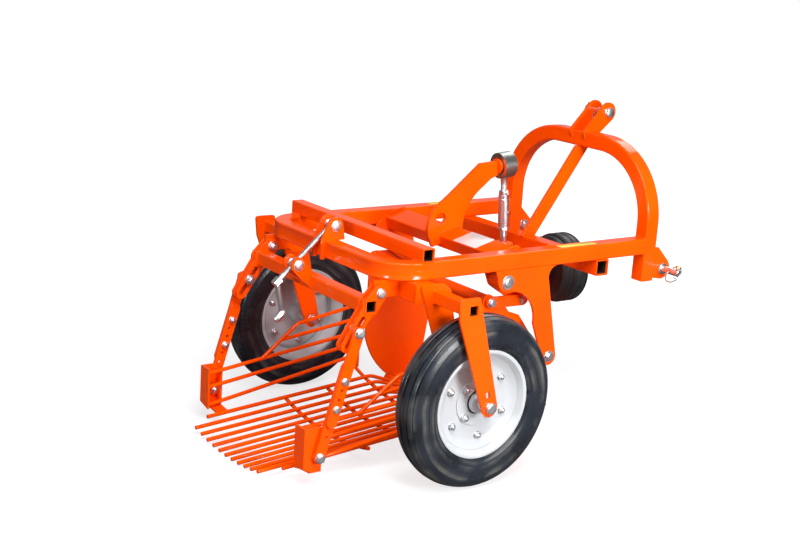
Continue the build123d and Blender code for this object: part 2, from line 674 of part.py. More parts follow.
def power_take_off():
    with BuildPart() as shaft:
        with BuildSketch(Plane.YZ.offset(REAR_BEARING_X - 25)):
            with Locations((0, SHAFT_Z)):
                Circle(SHAFT_CORE)
        extrude(amount=FRONT_BEARING_X + 40 - REAR_BEARING_X + 25)
        with BuildSketch(Plane.YZ.offset(FRONT_BEARING_X + 40)):
            with Locations((0, SHAFT_Z)):
                Circle(SHAFT_CORE)
                with PolarLocations(SHAFT_CORE - 1, 6):
                    Rectangle(2 * (SHAFT_RADIUS - SHAFT_CORE + 1), 8.6)
        extrude(amount=GUARD_FRONT - 12 - FRONT_BEARING_X - 40)
    keep(shaft, "pto_shaft")

    with BuildPart() as eccentric:
        with BuildSketch(Plane.YZ.offset(SHAFT_X - 16)):
            with Locations((ECCENTRIC_THROW, SHAFT_Z)):
                Circle(ECCENTRIC_RADIUS)
            with Locations((0, SHAFT_Z)):
                Circle(SHAFT_CORE + 0.04, mode=Mode.SUBTRACT)
        extrude(amount=32)
    keep(eccentric, "eccentric")

    with BuildPart() as bearing:
        for x, top in ((FRONT_BEARING_X, FRAME_BOTTOM - TUBE), (REAR_BEARING_X, FRAME_BOTTOM)):
            with BuildSketch(Plane.YZ.offset(x - 6)):
                with Locations((0, SHAFT_Z)):
                    Circle(BEARING_RADIUS + 8)
                with Locations((-60, top - 5), (60, top - 5)):
                    Rectangle(10, 10)
                make_hull()
                with Locations((0, SHAFT_Z)):
                    Circle(SHAFT_CORE + AXLE_CLEARANCE, mode=Mode.SUBTRACT)
            extrude(amount=12)
            with BuildSketch(Plane.YZ.offset(x - BEARING_LENGTH / 2)):
                with Locations((0, SHAFT_Z)):
                    Circle(BEARING_RADIUS)
                    Circle(SHAFT_CORE + AXLE_CLEARANCE, mode=Mode.SUBTRACT)
            extrude(amount=BEARING_LENGTH)
    keep(bearing, "shaft_bearings")

    rear = GUARD_FRONT - GUARD_DEPTH
    step = GUARD_FRONT - 62
    hole = BEARING_RADIUS
    with BuildPart() as guard:
        with BuildSketch(Plane.XY):
            with BuildLine():
                Polyline((FRONT_BEARING_X + BEARING_LENGTH / 2, hole - 8),
                         (FRONT_BEARING_X + BEARING_LENGTH / 2, hole),
                         (rear, hole), (rear, GUARD_RADIUS - GUARD_STEP - 12),
                         (rear + 12, GUARD_RADIUS - GUARD_STEP), (step, GUARD_RADIUS - GUARD_STEP),
                         (step + 5, GUARD_RADIUS), (GUARD_FRONT, GUARD_RADIUS),
                         (GUARD_FRONT, GUARD_RADIUS - GUARD_WALL), (step + 8, GUARD_RADIUS - GUARD_WALL),
                         (step + 3, GUARD_RADIUS - GUARD_STEP - GUARD_WALL),
                         (rear + 13, GUARD_RADIUS - GUARD_STEP - GUARD_WALL),
                         (rear + GUARD_WALL, GUARD_RADIUS - GUARD_STEP - 13), (rear + GUARD_WALL, hole - 8),
                         (FRONT_BEARING_X + BEARING_LENGTH / 2, hole - 8))
            make_face()
        revolve(axis=Axis.X)
    with BuildPart() as placed:
        add(guard.part.moved(Location((0, 0, SHAFT_Z))))
    keep(placed, "pto_guard")


# ---------------------------------------------------------------- digging body
def share_top(x):
    """Height of the share's top face at x."""
    return SHARE_THICK + SHARE_RISE * (SHARE_TIP_X - x) / (SHARE_TIP_X - SHARE_REAR_X)


def drive_links():
    with BuildPart() as links:
        hull_plate([(ARM_X, ARM_Z, LINK_WIDTH / 2), (LINK_REAR_X, LINK_REAR_Z, LINK_WIDTH / 2)],
                   LINK_Y, LINK_THICK,
                   [(ARM_X, ARM_Z, LINK_BOLT + 0.15), (LINK_REAR_X, LINK_REAR_Z, LINK_BOLT + 0.6)])
        mirror(about=Plane.XZ)
    keep(links, "drive_links")


def digging_body():
    bottom = SHARE_THICK
    with BuildPart() as plate:
        with BuildSketch(right(ROCKER_PLATE_Y)):
            with BuildLine():
                front_low = (SHARE_SHOULDER_X, share_top(SHARE_SHOULDER_X) - bottom)
                rear_low = (SHARE_REAR_X, share_top(SHARE_REAR_X) - bottom)
                Line(front_low, (BODY_PIVOT_X + 30, BODY_PIVOT_Z))
                ThreePointArc((BODY_PIVOT_X + 30, BODY_PIVOT_Z),
                              (BODY_PIVOT_X + 18, BODY_PIVOT_Z + 24), (BODY_PIVOT_X - 8, BODY_PIVOT_Z + 29))
                Polyline((BODY_PIVOT_X - 8, BODY_PIVOT_Z + 29), (ARM_X, ARM_Z - 50), (ARM_X - 42, ARM_Z - 35),
                         (ARM_X - 59, ARM_Z - 14), (LINK_REAR_X + 20, LINK_REAR_Z - 8))
                ThreePointArc((LINK_REAR_X + 20, LINK_REAR_Z - 8), (LINK_REAR_X + 2, LINK_REAR_Z + 21.4),
                              (LINK_REAR_X - 21, LINK_REAR_Z + 5))
                Polyline((LINK_REAR_X - 21, LINK_REAR_Z + 5), (BODY_REAR_X, 430), (BODY_REAR_X, 200))
                ThreePointArc((BODY_REAR_X, 200), (BODY_REAR_X + 39, 116), (HINGE_X - 8, HINGE_Z + 12.5))
                ThreePointArc((HINGE_X - 8, HINGE_Z + 12.5), (HINGE_X - 8, HINGE_Z - 12.5),
                              (HINGE_X + 9, HINGE_Z - 11.8))
                Polyline((HINGE_X + 9, HINGE_Z - 11.8), rear_low, front_low)
            make_face()
            with Locations((LINK_REAR_X, LINK_REAR_Z)):
                Circle(LINK_BOLT + 0.04, mode=Mode.SUBTRACT)
            with Locations((HINGE_X, HINGE_Z)):
                Circle(HINGE_PIN + AXLE_CLEARANCE, mode=Mode.SUBTRACT)
        extrude(amount=PLATE)
        cross_pin(BODY_PIVOT_X, BODY_PIVOT_Z, PIVOT_END_RADIUS - 4, ROCKER_PLATE_Y + PLATE,
                  SIDE_PLATE_Y - GAP)
        cross_pin(BODY_PIVOT_X, BODY_PIVOT_Z, BODY_BOLT + AXLE_CLEARANCE, ROCKER_PLATE_Y,
                  SIDE_PLATE_Y, Mode.SUBTRACT)
        mirror(about=Plane.XZ)
    keep(plate, "body_plates")

    with BuildPart() as share:
        with BuildSketch(Plane.XY):
            with BuildLine():
                Polyline((SHARE_REAR_X, -ROCKER_PLATE_Y), (SHARE_SHOULDER_X, -ROCKER_PLATE_Y),
                         (SHARE_TIP_X, -SHARE_TIP_HALF), (SHARE_TIP_X, SHARE_TIP_HALF),
                         (SHARE_SHOULDER_X, ROCKER_PLATE_Y), (SHARE_REAR_X, ROCKER_PLATE_Y),
                         (SHARE_REAR_X, -ROCKER_PLATE_Y))
            make_face()
        extrude(amount=100)
        with BuildSketch(Plane.XZ.offset(-ROCKER_PLATE_Y)):
            with BuildLine():
                Polyline((SHARE_REAR_X, share_top(SHARE_REAR_X) - bottom), (SHARE_TIP_X - 30, 0),
                         (SHARE_TIP_X, 0), (SHARE_TIP_X, 2), (SHARE_REAR_X, share_top(SHARE_REAR_X)),
                         (SHARE_REAR_X, share_top(SHARE_REAR_X) - bottom))
            make_face()
        extrude(amount=2 * ROCKER_PLATE_Y, mode=Mode.INTERSECT)
    keep(share, "share")

    with BuildPart() as tube:
        with BuildSketch(Plane.XZ.offset(-ROCKER_PLATE_Y)):
            with Locations((LINK_REAR_X, LINK_REAR_Z)):
                Circle(BODY_TUBE / 1.3)
                Circle(LINK_BOLT + 0.04, mode=Mode.SUBTRACT)
        extrude(amount=2 * ROCKER_PLATE_Y)
    keep(tube, "body_tube")

    with BuildPart() as pins:
        cross_pin(LINK_REAR_X, LINK_REAR_Z, LINK_BOLT, ROCKER_PLATE_Y - 20, LINK_Y + LINK_THICK + 1)
        hex_head(LINK_REAR_X, LINK_REAR_Z, 24, LINK_Y + LINK_THICK + GAP, 8)
        mirror(about=Plane.XZ)
    keep(pins, "body_link_pins")


def finger_height(y, x):
    """Height of a sieve rod's centre at (x, y): a trough that falls towards the rear."""
    rise = TROUGH_RADIUS - sqrt(TROUGH_RADIUS ** 2 - y ** 2)
    return TAIL_Z + rise + (x - TAIL_X) * tan(radians(SIEVE_SLOPE))


def bent_rod(points, radius):
    """Round bar along a bent line, added to the current part."""
    with BuildLine() as bends:
        if len(points) > 2:
            FilletPolyline(*points, radius=radius)
        else:
            Line(*points)
    path = bends.line
    with BuildSketch(Plane(path @ 0, z_dir=path % 0)) as section:
        Circle(ROD)
    sweep(section.sketch, path=path)


def sieve():
    outer = (FINGERS - 1) // 2
    with BuildPart() as sleeve:
        with BuildSketch(Plane.XZ.offset(-SLEEVE_HALF)):
            with Locations((HINGE_X, HINGE_Z)):
                Circle(HINGE_SLEEVE)
                Circle(HINGE_PIN + AXLE_CLEARANCE, mode=Mode.SUBTRACT)
        extrude(amount=2 * SLEEVE_HALF)
    keep(sleeve, "sieve_sleeve")

    with BuildPart() as fingers:
        for index in range(-outer, outer + 1):
            y = index * FINGER_PITCH
            tail = OUTER_TAIL_X if abs(index) == outer else TAIL_X
            bent_rod([(HINGE_X, y, HINGE_Z), (SIEVE_BEND_X, y, finger_height(y, SIEVE_BEND_X)),
                      (tail, y, finger_height(y, tail))], 60)
        with BuildSketch(Plane.XZ.offset(-SLEEVE_HALF)):
            with Locations((HINGE_X, HINGE_Z)):
                Circle(HINGE_SLEEVE)
        extrude(amount=2 * SLEEVE_HALF, mode=Mode.SUBTRACT)
    keep(fingers, "sieve_fingers")

    with BuildPart() as bars:
        for x in CROSS_BAR_X:
            reach = POST_Y + ROD if x == CROSS_BAR_X[0] else outer * FINGER_PITCH + 10
            span = [reach * step / 6 for step in range(-6, 7)]
            with BuildLine():
                path = Spline(*[(x, y, finger_height(y, x) - 2.02 * ROD) for y in span])
            with BuildSketch(Plane(path @ 0, z_dir=path % 0)):
                Circle(ROD)
            sweep(path=path)
    keep(bars, "sieve_cross_bars")

    with BuildPart() as shaft:
        cross_pin(HINGE_X, HINGE_Z, HINGE_PIN, -ROCKER_PLATE_Y - PLATE - 4, ROCKER_PLATE_Y + PLATE + 4)
    keep(shaft, "sieve_shaft")


def guards():
    """Side guard rods: (front x, height there, rear x, height there)."""
    tail = GUARD_REAR_X + 0.6
    rods = ((POST_X, 222.0, tail, 162.0), (POST_X, 182.0, tail, 118.0),
            (POST_X, 142.0, tail, 60.0), (POST_X, 268.0, POST_X - 302, 234.0))
    foot = finger_height(POST_Y + ROD, POST_X) - 0.95 * ROD
    with BuildPart() as guard:
        bent_rod([(POST_X, -POST_Y, foot), (POST_X, -POST_Y, POST_HEAD)], 0)
        for front, z_front, rear, z_rear in rods:
            share = (POST_X - rear) / (POST_X - GUARD_REAR_X)
            bent_rod([(front, -POST_Y, z_front), (rear, -POST_Y + GUARD_TAPER * share, z_rear)], 0)
        bend, low_end = POST_X - 245, POST_X - 372
        taper = GUARD_TAPER / (POST_X - GUARD_REAR_X)
        bent_rod([(POST_X, -POST_Y, POST_HEAD - ROD), (bend, -POST_Y + taper * (POST_X - bend), 279.0),
                  (low_end, -POST_Y + taper * (POST_X - low_end), 183.0)], 30)
        mirror(about=Plane.XZ)
    keep(guard, "side_guards")


def tail_brackets():
    rear = GUARD_REAR_X - BRACKET_SHEET
    front = rear + 58
    top = 178.0
    low = 54.0
    web = BRACKET_WEB_Y
    outside = web + BRACKET_SHEET
    outer_finger = (FINGERS - 1) // 2 * FINGER_PITCH
    finger_z = finger_height(outer_finger, rear + 40)
    rod_y = POST_Y - GUARD_TAPER * (POST_X - front) / (POST_X - GUARD_REAR_X)
    with BuildPart() as brackets:
        with BuildSketch(right(web)):
            with BuildLine():
                Polyline((front, low), (front, top - 14), (front - 8, top), (rear, top), (rear, low + 8),
                         (rear + 14, low), (front, low))
            make_face()
            with Locations((TAIL_PIVOT_X, TAIL_PIVOT_Z)):
                Circle(TAIL_BOLT, mode=Mode.SUBTRACT)
        extrude(amount=BRACKET_SHEET)
        with BuildSketch(Plane.YZ.offset(rear)):
            with BuildLine():
                Polyline((-outside, low + 8), (-outside, top), (-rod_y + 2 * ROD, top),
                         (-rod_y + 2 * ROD, low - 4), (-outside, low + 8))
            make_face()
        extrude(amount=BRACKET_SHEET)
        with BuildSketch(Plane.YZ.offset(front - BRACKET_SHEET)):
            with BuildLine():
                inner = rod_y + ROD + 0.3
                Polyline((-outside, low), (-outside, top - 14), (-inner, top - 14), (-inner, low), (-outside, low))
            make_face()
        extrude(amount=BRACKET_SHEET)
        with BuildSketch(Plane.YZ.offset(rear + 20)):
            with BuildLine():
                y1 = -(outer_finger + ROD)
                Polyline((-outside, low), (-outside, low - 7), (y1, finger_z - 4), (y1, finger_z + 3),
                         (-outside, low))
            make_face()
        extrude(amount=38)
        mirror(about=Plane.XZ)
    keep(brackets, "tail_brackets")

    with BuildPart() as pins:
        cross_pin(TAIL_PIVOT_X, TAIL_PIVOT_Z, TAIL_BOLT, web - 14, HANGER_LOWER_Y + HANGER_THICK + 4)
        cross_pin(TAIL_PIVOT_X, TAIL_PIVOT_Z, 15, outside, HANGER_LOWER_Y - GAP)
        cross_pin(TAIL_PIVOT_X, TAIL_PIVOT_Z, 15, HANGER_LOWER_Y + HANGER_THICK + GAP,
                  HANGER_LOWER_Y + HANGER_THICK + 3.5)
        hex_head(TAIL_PIVOT_X, TAIL_PIVOT_Z, 22, HANGER_LOWER_Y + HANGER_THICK + 3.5, 8)
        mirror(about=Plane.XZ)
    keep(pins, "tail_pins")


# ---------------------------------------------------------------- hangers and yoke
def hangers():
    run_x = HANGER_X - TAIL_PIVOT_X
    run_z = HANGER_Z - TAIL_PIVOT_Z
    length = hypot(run_x, run_z)

    def along(distance):
        return (TAIL_PIVOT_X + run_x * distance / length, TAIL_PIVOT_Z + run_z * distance / length)

    lap_low, lap_high = 105.0, 260.0
    bolt_a, bolt_b = along(143.0), along(224.0)
    half = HANGER_WIDTH / 2
    holes = [along(d) + (5.0,) for d in (60.0, 88.0, 116.0, 170.0, 197.0)]
    with BuildPart() as lower:
        hull_plate([(TAIL_PIVOT_X, TAIL_PIVOT_Z, half), along(lap_high) + (half,)],
                   HANGER_LOWER_Y, HANGER_THICK,
                   holes + [(TAIL_PIVOT_X, TAIL_PIVOT_Z, TAIL_BOLT + TAIL_PLAY), bolt_a + (6.05,), bolt_b + (6.05,)])
        mirror(about=Plane.XZ)
    keep(lower, "hanger_lower")

    upper_y = HANGER_LOWER_Y + HANGER_THICK
    with BuildPart() as upper:
        hull_plate([along(lap_low) + (half,), (HANGER_X, HANGER_Z, half)], upper_y, HANGER_THICK,
                   [along(170.0) + (5.0,), along(197.0) + (5.0,), bolt_a + (6.05,), bolt_b + (6.05,),
                    (HANGER_X, HANGER_Z, TAIL_BOLT + 0.08)])
        mirror(about=Plane.XZ)
    keep(upper, "hanger_upper")

    with BuildPart() as bolts:
        for x, z in (bolt_a, bolt_b):
            cross_pin(x, z, 6, HANGER_LOWER_Y, upper_y + HANGER_THICK)
            hex_head(x, z, 19, upper_y + HANGER_THICK, 7)
            hex_head(x, z, 19, HANGER_LOWER_Y - 9, 9)
        mirror(about=Plane.XZ)
    keep(bolts, "hanger_bolts")

    with BuildPart() as pins:
        cross_pin(HANGER_X, HANGER_Z, TAIL_BOLT, ARM_INNER_Y - 18, upper_y + HANGER_THICK + 20)
        cross_pin(HANGER_X, HANGER_Z, 14, ARM_OUTER_Y + PLATE + GAP, upper_y - GAP)
        hex_head(HANGER_X, HANGER_Z, 24, upper_y + HANGER_THICK + GAP, 15)
        hex_head(HANGER_X, HANGER_Z, 22, ARM_INNER_Y - 12, 12 - GAP)
        mirror(about=Plane.XZ)
    keep(pins, "hanger_pins")


def yoke():
    run_x, run_z = HANGER_X - YOKE_TUBE_X, HANGER_Z - YOKE_TUBE_Z
    arm = hypot(run_x, run_z)
    ux, uz = run_x / arm, run_z / arm
    end = (HANGER_X + 48 * ux, HANGER_Z + 48 * uz)
    slot = (HANGER_X + 4 * ux, HANGER_Z + 4 * uz)
    angle = degrees(atan2(run_z, run_x))
    half = YOKE_ARM_WIDTH / 2
    with BuildPart() as frame:
        for y in (ARM_INNER_Y, ARM_OUTER_Y):
            hull_plate([(YOKE_X, YOKE_Z, half + 6), (YOKE_TUBE_X, YOKE_TUBE_Z, half + 9)], y, PLATE,
                       [(YOKE_X, YOKE_Z, 8.15)])
            hull_plate([(YOKE_TUBE_X, YOKE_TUBE_Z, half + 2), (end[0], end[1], half)], y, PLATE)
            with BuildSketch(right(y)):
                with Locations(Location((slot[0], slot[1], 0), (0, 0, angle))):
                    SlotOverall(102, SLOT_WIDTH)
            extrude(amount=PLATE, mode=Mode.SUBTRACT)
        with BuildSketch(Plane.XZ):
            with Locations((YOKE_TUBE_X, YOKE_TUBE_Z)):
                square_ring(YOKE_TUBE, 4, 4)
        extrude(amount=YOKE_HALF)
        with BuildSketch(right(ARM_INNER_Y)):
            with Locations((YOKE_TUBE_X, YOKE_TUBE_Z)):
                Rectangle(YOKE_TUBE - 8, YOKE_TUBE - 8)
        extrude(amount=YOKE_HALF - ARM_INNER_Y, mode=Mode.SUBTRACT)
        hull_plate([(CLEVIS_X, CLEVIS_Z, 23), (YOKE_TUBE_X - 8, YOKE_TUBE_Z + 12, 8),
                    (YOKE_TUBE_X - 10, YOKE_TUBE_Z - 14, 6)], EAR_HALF_GAP, SCREW_EAR,
                   [(CLEVIS_X, CLEVIS_Z, TRUNNION_RADIUS - 4 + 0.15)])
        with BuildSketch(right(EAR_HALF_GAP)):
            with Locations((YOKE_TUBE_X, YOKE_TUBE_Z)):
                Rectangle(YOKE_TUBE - 8, YOKE_TUBE - 8)
        extrude(amount=SCREW_EAR, mode=Mode.SUBTRACT)
        mirror(about=Plane.XZ)
    keep(frame, "yoke")


def adjusting_screw():
    with BuildPart() as ears:
        with BuildSketch(right(EAR_HALF_GAP)):
            with Locations((TRUNNION_X, TRUNNION_Z)):
                Circle(25)
            with Locations((FRAME_REAR + 27, FRAME_TOP + 2)):
                Rectangle(78, 4)
            make_hull()
            with Locations((FRAME_REAR - 6, FRAME_TOP - 25)):
                Rectangle(12, 58)
            with Locations((FRAME_REAR + TUBE / 2, FRAME_TOP - TUBE / 2)):
                Rectangle(TUBE, TUBE, mode=Mode.SUBTRACT)
            with Locations((TRUNNION_X, TRUNNION_Z)):
                Circle(TRUNNION_RADIUS - 4 + 0.15, mode=Mode.SUBTRACT)
        extrude(amount=SCREW_EAR)
        mirror(about=Plane.XZ)
    keep(ears, "screw_ears")

    dx, dz = TRUNNION_X - CLEVIS_X, TRUNNION_Z - CLEVIS_Z
    run = hypot(dx, dz)
    ux, uz = dx / run, dz / run
    direction = (ux, 0, uz)

    def barrel(name, x, z, bore):
        with BuildPart() as pin:
            cross_pin(x, z, TRUNNION_RADIUS, 0, EAR_HALF_GAP - GAP)
            cross_pin(x, z, TRUNNION_RADIUS - 4, EAR_HALF_GAP - GAP, EAR_HALF_GAP + SCREW_EAR + 6)
            mirror(about=Plane.XZ)
            with BuildSketch(Plane((x - 40 * ux, 0, z - 40 * uz), z_dir=direction)):
                Circle(bore)
            extrude(amount=80, mode=Mode.SUBTRACT)
        keep(pin, name)

    barrel("trunnion", TRUNNION_X, TRUNNION_Z, SCREW_RADIUS + 1.2)
    barrel("clevis_nut", CLEVIS_X, CLEVIS_Z, SCREW_RADIUS + 0.04)
    hub_x, hub_z = CLEVIS_X - CRANK_REACH * ux, CLEVIS_Z - CRANK_REACH * uz
    slope = degrees(atan2(uz, ux))
    end_x, end_z = hub_x + CRANK_DROP_X, hub_z - CRANK_DROP_Z
    with BuildPart() as screw:
        with BuildSketch(Plane((hub_x, 0, hub_z), z_dir=direction)):
            Circle(SCREW_RADIUS)
        extrude(amount=CRANK_REACH + run + 27)
        with BuildSketch(Plane.XZ.offset(-13)):
            with Locations(Location((hub_x, hub_z, 0), (0, 0, slope))):
                Rectangle(22, 26)
        extrude(amount=26)
        with BuildSketch(Plane.XZ.offset(-5)):
            with Locations((hub_x, hub_z)):
                Circle(9)
            with Locations((end_x, end_z)):
                Circle(8)
            make_hull()
        extrude(amount=10)
        with BuildSketch(Plane((end_x, 0, end_z), z_dir=(-ux, 0, -uz))):
            Circle(11)
        extrude(amount=30)
    keep(screw, "crank_screw")


main_frame()
cross_tube("tool_bar", TOOLBAR_REAR + TOOLBAR / 2, FRAME_TOP + TOOLBAR, HALF, TOOLBAR, TOOLBAR_WALL)
cross_tube("front_cross_tube", FRONT_CROSS_X, FRAME_TOP, HALF - TUBE, TUBE, TUBE_WALL)
cross_tube("lower_cross_tube", LOWER_CROSS_X, FRAME_BOTTOM, HALF, TUBE, TUBE_WALL)
hitch_arch()
mast()
hitch_lugs()
side_plates()
rear_lugs()
wheel_forks()
wheels()
rocker()
connecting_rod()
power_take_off()
drive_links()
digging_body()
sieve()
guards()
tail_brackets()
hangers()
yoke()
adjusting_screw()
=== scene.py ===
# %% [markdown]
# # Potato digger
# A single-row potato digger hangs behind a small tractor. A share lifts the row, and a
# sieve of round fingers, shaken by an eccentric, lets the soil fall through. The machine
# comes into this lesson as a finished CAD model, so no length is decided here. Each cell
# adds what the CAD leaves out: paint, rubber, zinc, threads, weld beads and small parts.

from math import cos, pi, radians, sin, tau

import bpy
from mathutils import Matrix, Vector


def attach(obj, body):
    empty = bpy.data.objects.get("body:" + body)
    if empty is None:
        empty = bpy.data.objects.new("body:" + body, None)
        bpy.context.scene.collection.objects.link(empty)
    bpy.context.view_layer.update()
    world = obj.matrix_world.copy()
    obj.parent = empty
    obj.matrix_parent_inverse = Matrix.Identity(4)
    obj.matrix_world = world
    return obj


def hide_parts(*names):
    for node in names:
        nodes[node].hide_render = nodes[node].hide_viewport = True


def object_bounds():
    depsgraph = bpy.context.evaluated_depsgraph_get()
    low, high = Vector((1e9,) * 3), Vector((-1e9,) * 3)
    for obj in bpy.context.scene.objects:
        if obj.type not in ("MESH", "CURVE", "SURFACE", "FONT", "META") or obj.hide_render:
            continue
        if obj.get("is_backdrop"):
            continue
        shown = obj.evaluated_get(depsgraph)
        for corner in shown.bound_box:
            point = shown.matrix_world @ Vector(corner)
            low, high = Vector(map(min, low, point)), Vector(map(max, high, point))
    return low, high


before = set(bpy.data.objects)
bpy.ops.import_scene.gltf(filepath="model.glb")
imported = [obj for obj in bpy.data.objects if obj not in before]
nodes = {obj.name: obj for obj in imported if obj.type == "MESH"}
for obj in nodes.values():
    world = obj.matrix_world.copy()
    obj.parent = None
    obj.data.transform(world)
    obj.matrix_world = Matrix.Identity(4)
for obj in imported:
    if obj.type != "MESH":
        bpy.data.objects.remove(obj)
cad_low, cad_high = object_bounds()

# %% [markdown]
# ## Camera
# A machine like this shows best from a little above its rear corner through a long
# lens, because a wide lens would stretch the near wheel. The camera is placed by its
# position and three angles. The small roll is written into the matrix, where an aim
# constraint would lose it.

# %% Place the camera
camera_place = Vector((-2.4678, -3.2097, 1.5030))
turn, tilt, roll = radians(-36.26), radians(13.92), radians(3.76)
back = Vector((sin(turn) * cos(tilt), -cos(turn) * cos(tilt), sin(tilt)))
across = (-back).cross(Vector((0, 0, 1))).normalized()
upward = across.cross(-back)
right_edge = across * cos(roll) + upward * sin(roll)
top_edge = upward * cos(roll) - across * sin(roll)
lens = bpy.data.cameras.new("camera")
lens.sensor_width, lens.lens = 36, 60.52
lens.clip_start, lens.clip_end = 0.1, 200
camera = bpy.data.objects.new("camera", lens)
bpy.context.scene.collection.objects.link(camera)
camera.matrix_world = Matrix((right_edge, top_edge, back)).transposed().to_4x4()
camera.location = camera_place
bpy.context.scene.camera = camera
bpy.context.scene.view_settings.view_transform = "Standard"
print("camera looks along", [round(v, 3) for v in -back])

# %% [markdown]
# ## Writing shader maths
# A material is a graph of nodes. Clicking it together is slow, and code that links every
# socket by hand is hard to read. So one class wraps a node's output, and Python's own
# operators add Math nodes to it: `1 - mask * 0.3` is then a piece of the graph. Every
# other node comes from one method, which takes its type, its settings and its sockets.


# %% A socket that does sums, and the tree it belongs to
class Socket:
    """One output in a tree. An operator on it adds a Math node."""

    def __init__(self, tree, link):
        self.tree, self.link = tree, link

    def sum(self, operation, first, second=0.0):
        return self.tree.node("ShaderNodeMath", {"operation": operation}, {0: first, 1: second})

    def __add__(self, other):
        return self.sum("ADD", self, other)

    def __radd__(self, other):
        return self.sum("ADD", other, self)

    def __sub__(self, other):
        return self.sum("SUBTRACT", self, other)

    def __rsub__(self, other):
        return self.sum("SUBTRACT", other, self)

    def __mul__(self, other):
        return self.sum("MULTIPLY", self, other)

    def __rmul__(self, other):
        return self.sum("MULTIPLY", other, self)

    def __truediv__(self, other):
        return self.sum("DIVIDE", self, other)

    def __pow__(self, other):
        return self.sum("POWER", self, other)

    def clamped(self, low, high):
        """0 at low, 1 at high, straight between."""
        return self.tree.node(
            "ShaderNodeMapRange", {"clamp": True}, {"Value": self, "From Min": low, "From Max": high}
        )


class Tree:
    """The nodes of one material or of the world."""

    def __init__(self, owner):
        owner.use_nodes = True
        self.nodes, self.links = owner.node_tree.nodes, owner.node_tree.links
        self.nodes.clear()

    def node(self, kind, settings=None, sockets=None, output=0):
        made = self.nodes.new(kind)
        for key, value in (settings or {}).items():
            setattr(made, key, value)
        for key, value in (sockets or {}).items():
            if isinstance(value, Socket):
                self.links.new(value.link, made.inputs[key])
            else:
                made.inputs[key].default_value = value
        return Socket(self, made.outputs[output]) if made.outputs else None

    def mix(self, amount, first, second):
        """Colours are mixed here, because a Math node would turn them grey."""
        return self.node("ShaderNodeMix", {"data_type": "RGBA"}, {0: amount, 6: first, 7: second}, 2)

    def place(self):
        """Where a point lies on its piece, in metres."""
        return self.node("ShaderNodeTexCoord", output=3)

    def noise(self, scale, detail=2.0):
        return self.node(
            "ShaderNodeTexNoise", {}, {"Vector": self.place(), "Scale": scale, "Detail": detail}
        )

    def bumps(self, height, depth, normal=None):
        sockets = {"Height": height, "Distance": depth, "Strength": 1.0}
        if normal:
            sockets["Normal"] = normal
        return self.node("ShaderNodeBump", {}, sockets)


finishes = {}


def finish(name, build):
    """Make a material and keep it under its plain name."""
    material = bpy.data.materials.new(name)
    tree = Tree(material)
    sockets, plain = build(tree)
    shader = tree.node("ShaderNodeBsdfPrincipled", {}, {**plain, **sockets})
    tree.node("ShaderNodeOutputMaterial", {}, {0: shader})
    finishes[name] = material
    print(f"{name}: {len(tree.nodes)} nodes")


print("socket class ready")

# %% [markdown]
# ## Orange paint
# The frame is shot-blasted and sprayed with a thick, glossy enamel. Its surface is almost
# a mirror, broken by a fine orange peel. A coat layer is one way to make the gloss, but
# it ignores the bumps and the rounded edges. So the gloss is the paint's own reflection,
# low and sharp; a Bevel node rounds the light on the cut edges as the thick paint does,
# and slow noise moves the colour by a few percent between thick and thin paint.


# %% Orange paint
FRAME_MIDDLE, HALF_TUBE = 0.600, 0.025
BEND_REAR, BEND_FRONT = -0.29, -0.22
WALL_DEPTH = 0.0045


def sunk_wall(tree):
    """The outer wall of the frame's rear bends sinks when the tube is bent; height in metres."""
    x = tree.node("ShaderNodeSeparateXYZ", {}, {0: tree.place()}, 0)
    z = tree.node("ShaderNodeSeparateXYZ", {}, {0: tree.place()}, 2)
    off_middle = (z - FRAME_MIDDLE) / HALF_TUBE
    return off_middle * off_middle * (1 - x.clamped(BEND_REAR, BEND_FRONT)) * WALL_DEPTH


def orange_paint(tree, sunk=False):
    cloud = tree.noise(5.0, 3.0)
    film = tree.noise(38.0, 2.0)
    colour = tree.mix(cloud.clamped(0.35, 0.65), (0.96, 0.072, 0.0, 1), (1.0, 0.090, 0.0, 1))
    colour = tree.mix(film.clamped(0.45, 0.75) * 0.18, colour, (0.90, 0.056, 0.0, 1))
    rounded = tree.node("ShaderNodeBevel", {"samples": 6}, {"Radius": 0.0016})
    height = tree.noise(420.0, 1.0) * 0.00002
    if sunk:
        height = height + sunk_wall(tree)
    normal = tree.bumps(height, 1.0, rounded)
    return {
        "Base Color": colour,
        "Roughness": 0.09 + film * 0.07,
        "Normal": normal,
    }, {
        "Specular IOR Level": 0.24,
    }


finish("orange_paint", orange_paint)
finish("orange_bent_tube", lambda tree: orange_paint(tree, True))

# %% [markdown]
# ## White rim paint
# The wheel discs have a thinner white coat. Road dust and the tyre fitter's hands leave
# it a little grey toward the flange, which a single white would not show.


# %% White paint
def white_paint(tree):
    dust = tree.noise(14.0, 4.0)
    colour = tree.mix(dust.clamped(0.4, 0.8) * 0.5, (0.465, 0.485, 0.505, 1), (0.42, 0.42, 0.43, 1))
    rounded = tree.node("ShaderNodeBevel", {"samples": 4}, {"Radius": 0.0012})
    normal = tree.bumps(tree.noise(300.0, 1.0), 0.00004, rounded)
    return {
        "Base Color": colour,
        "Roughness": 0.30 + dust * 0.14,
        "Normal": normal,
    }, {"Coat Weight": 0.3, "Coat Roughness": 0.1}


finish("white_paint", white_paint)

# %% [markdown]
# ## Zinc
# Bolts, pins and the adjusting screw are electroplated with zinc, then dipped in a clear
# passivation that shifts between blue and straw yellow. The colour is a metal's, so it
# tints the reflection, and noise chooses between the two tints.


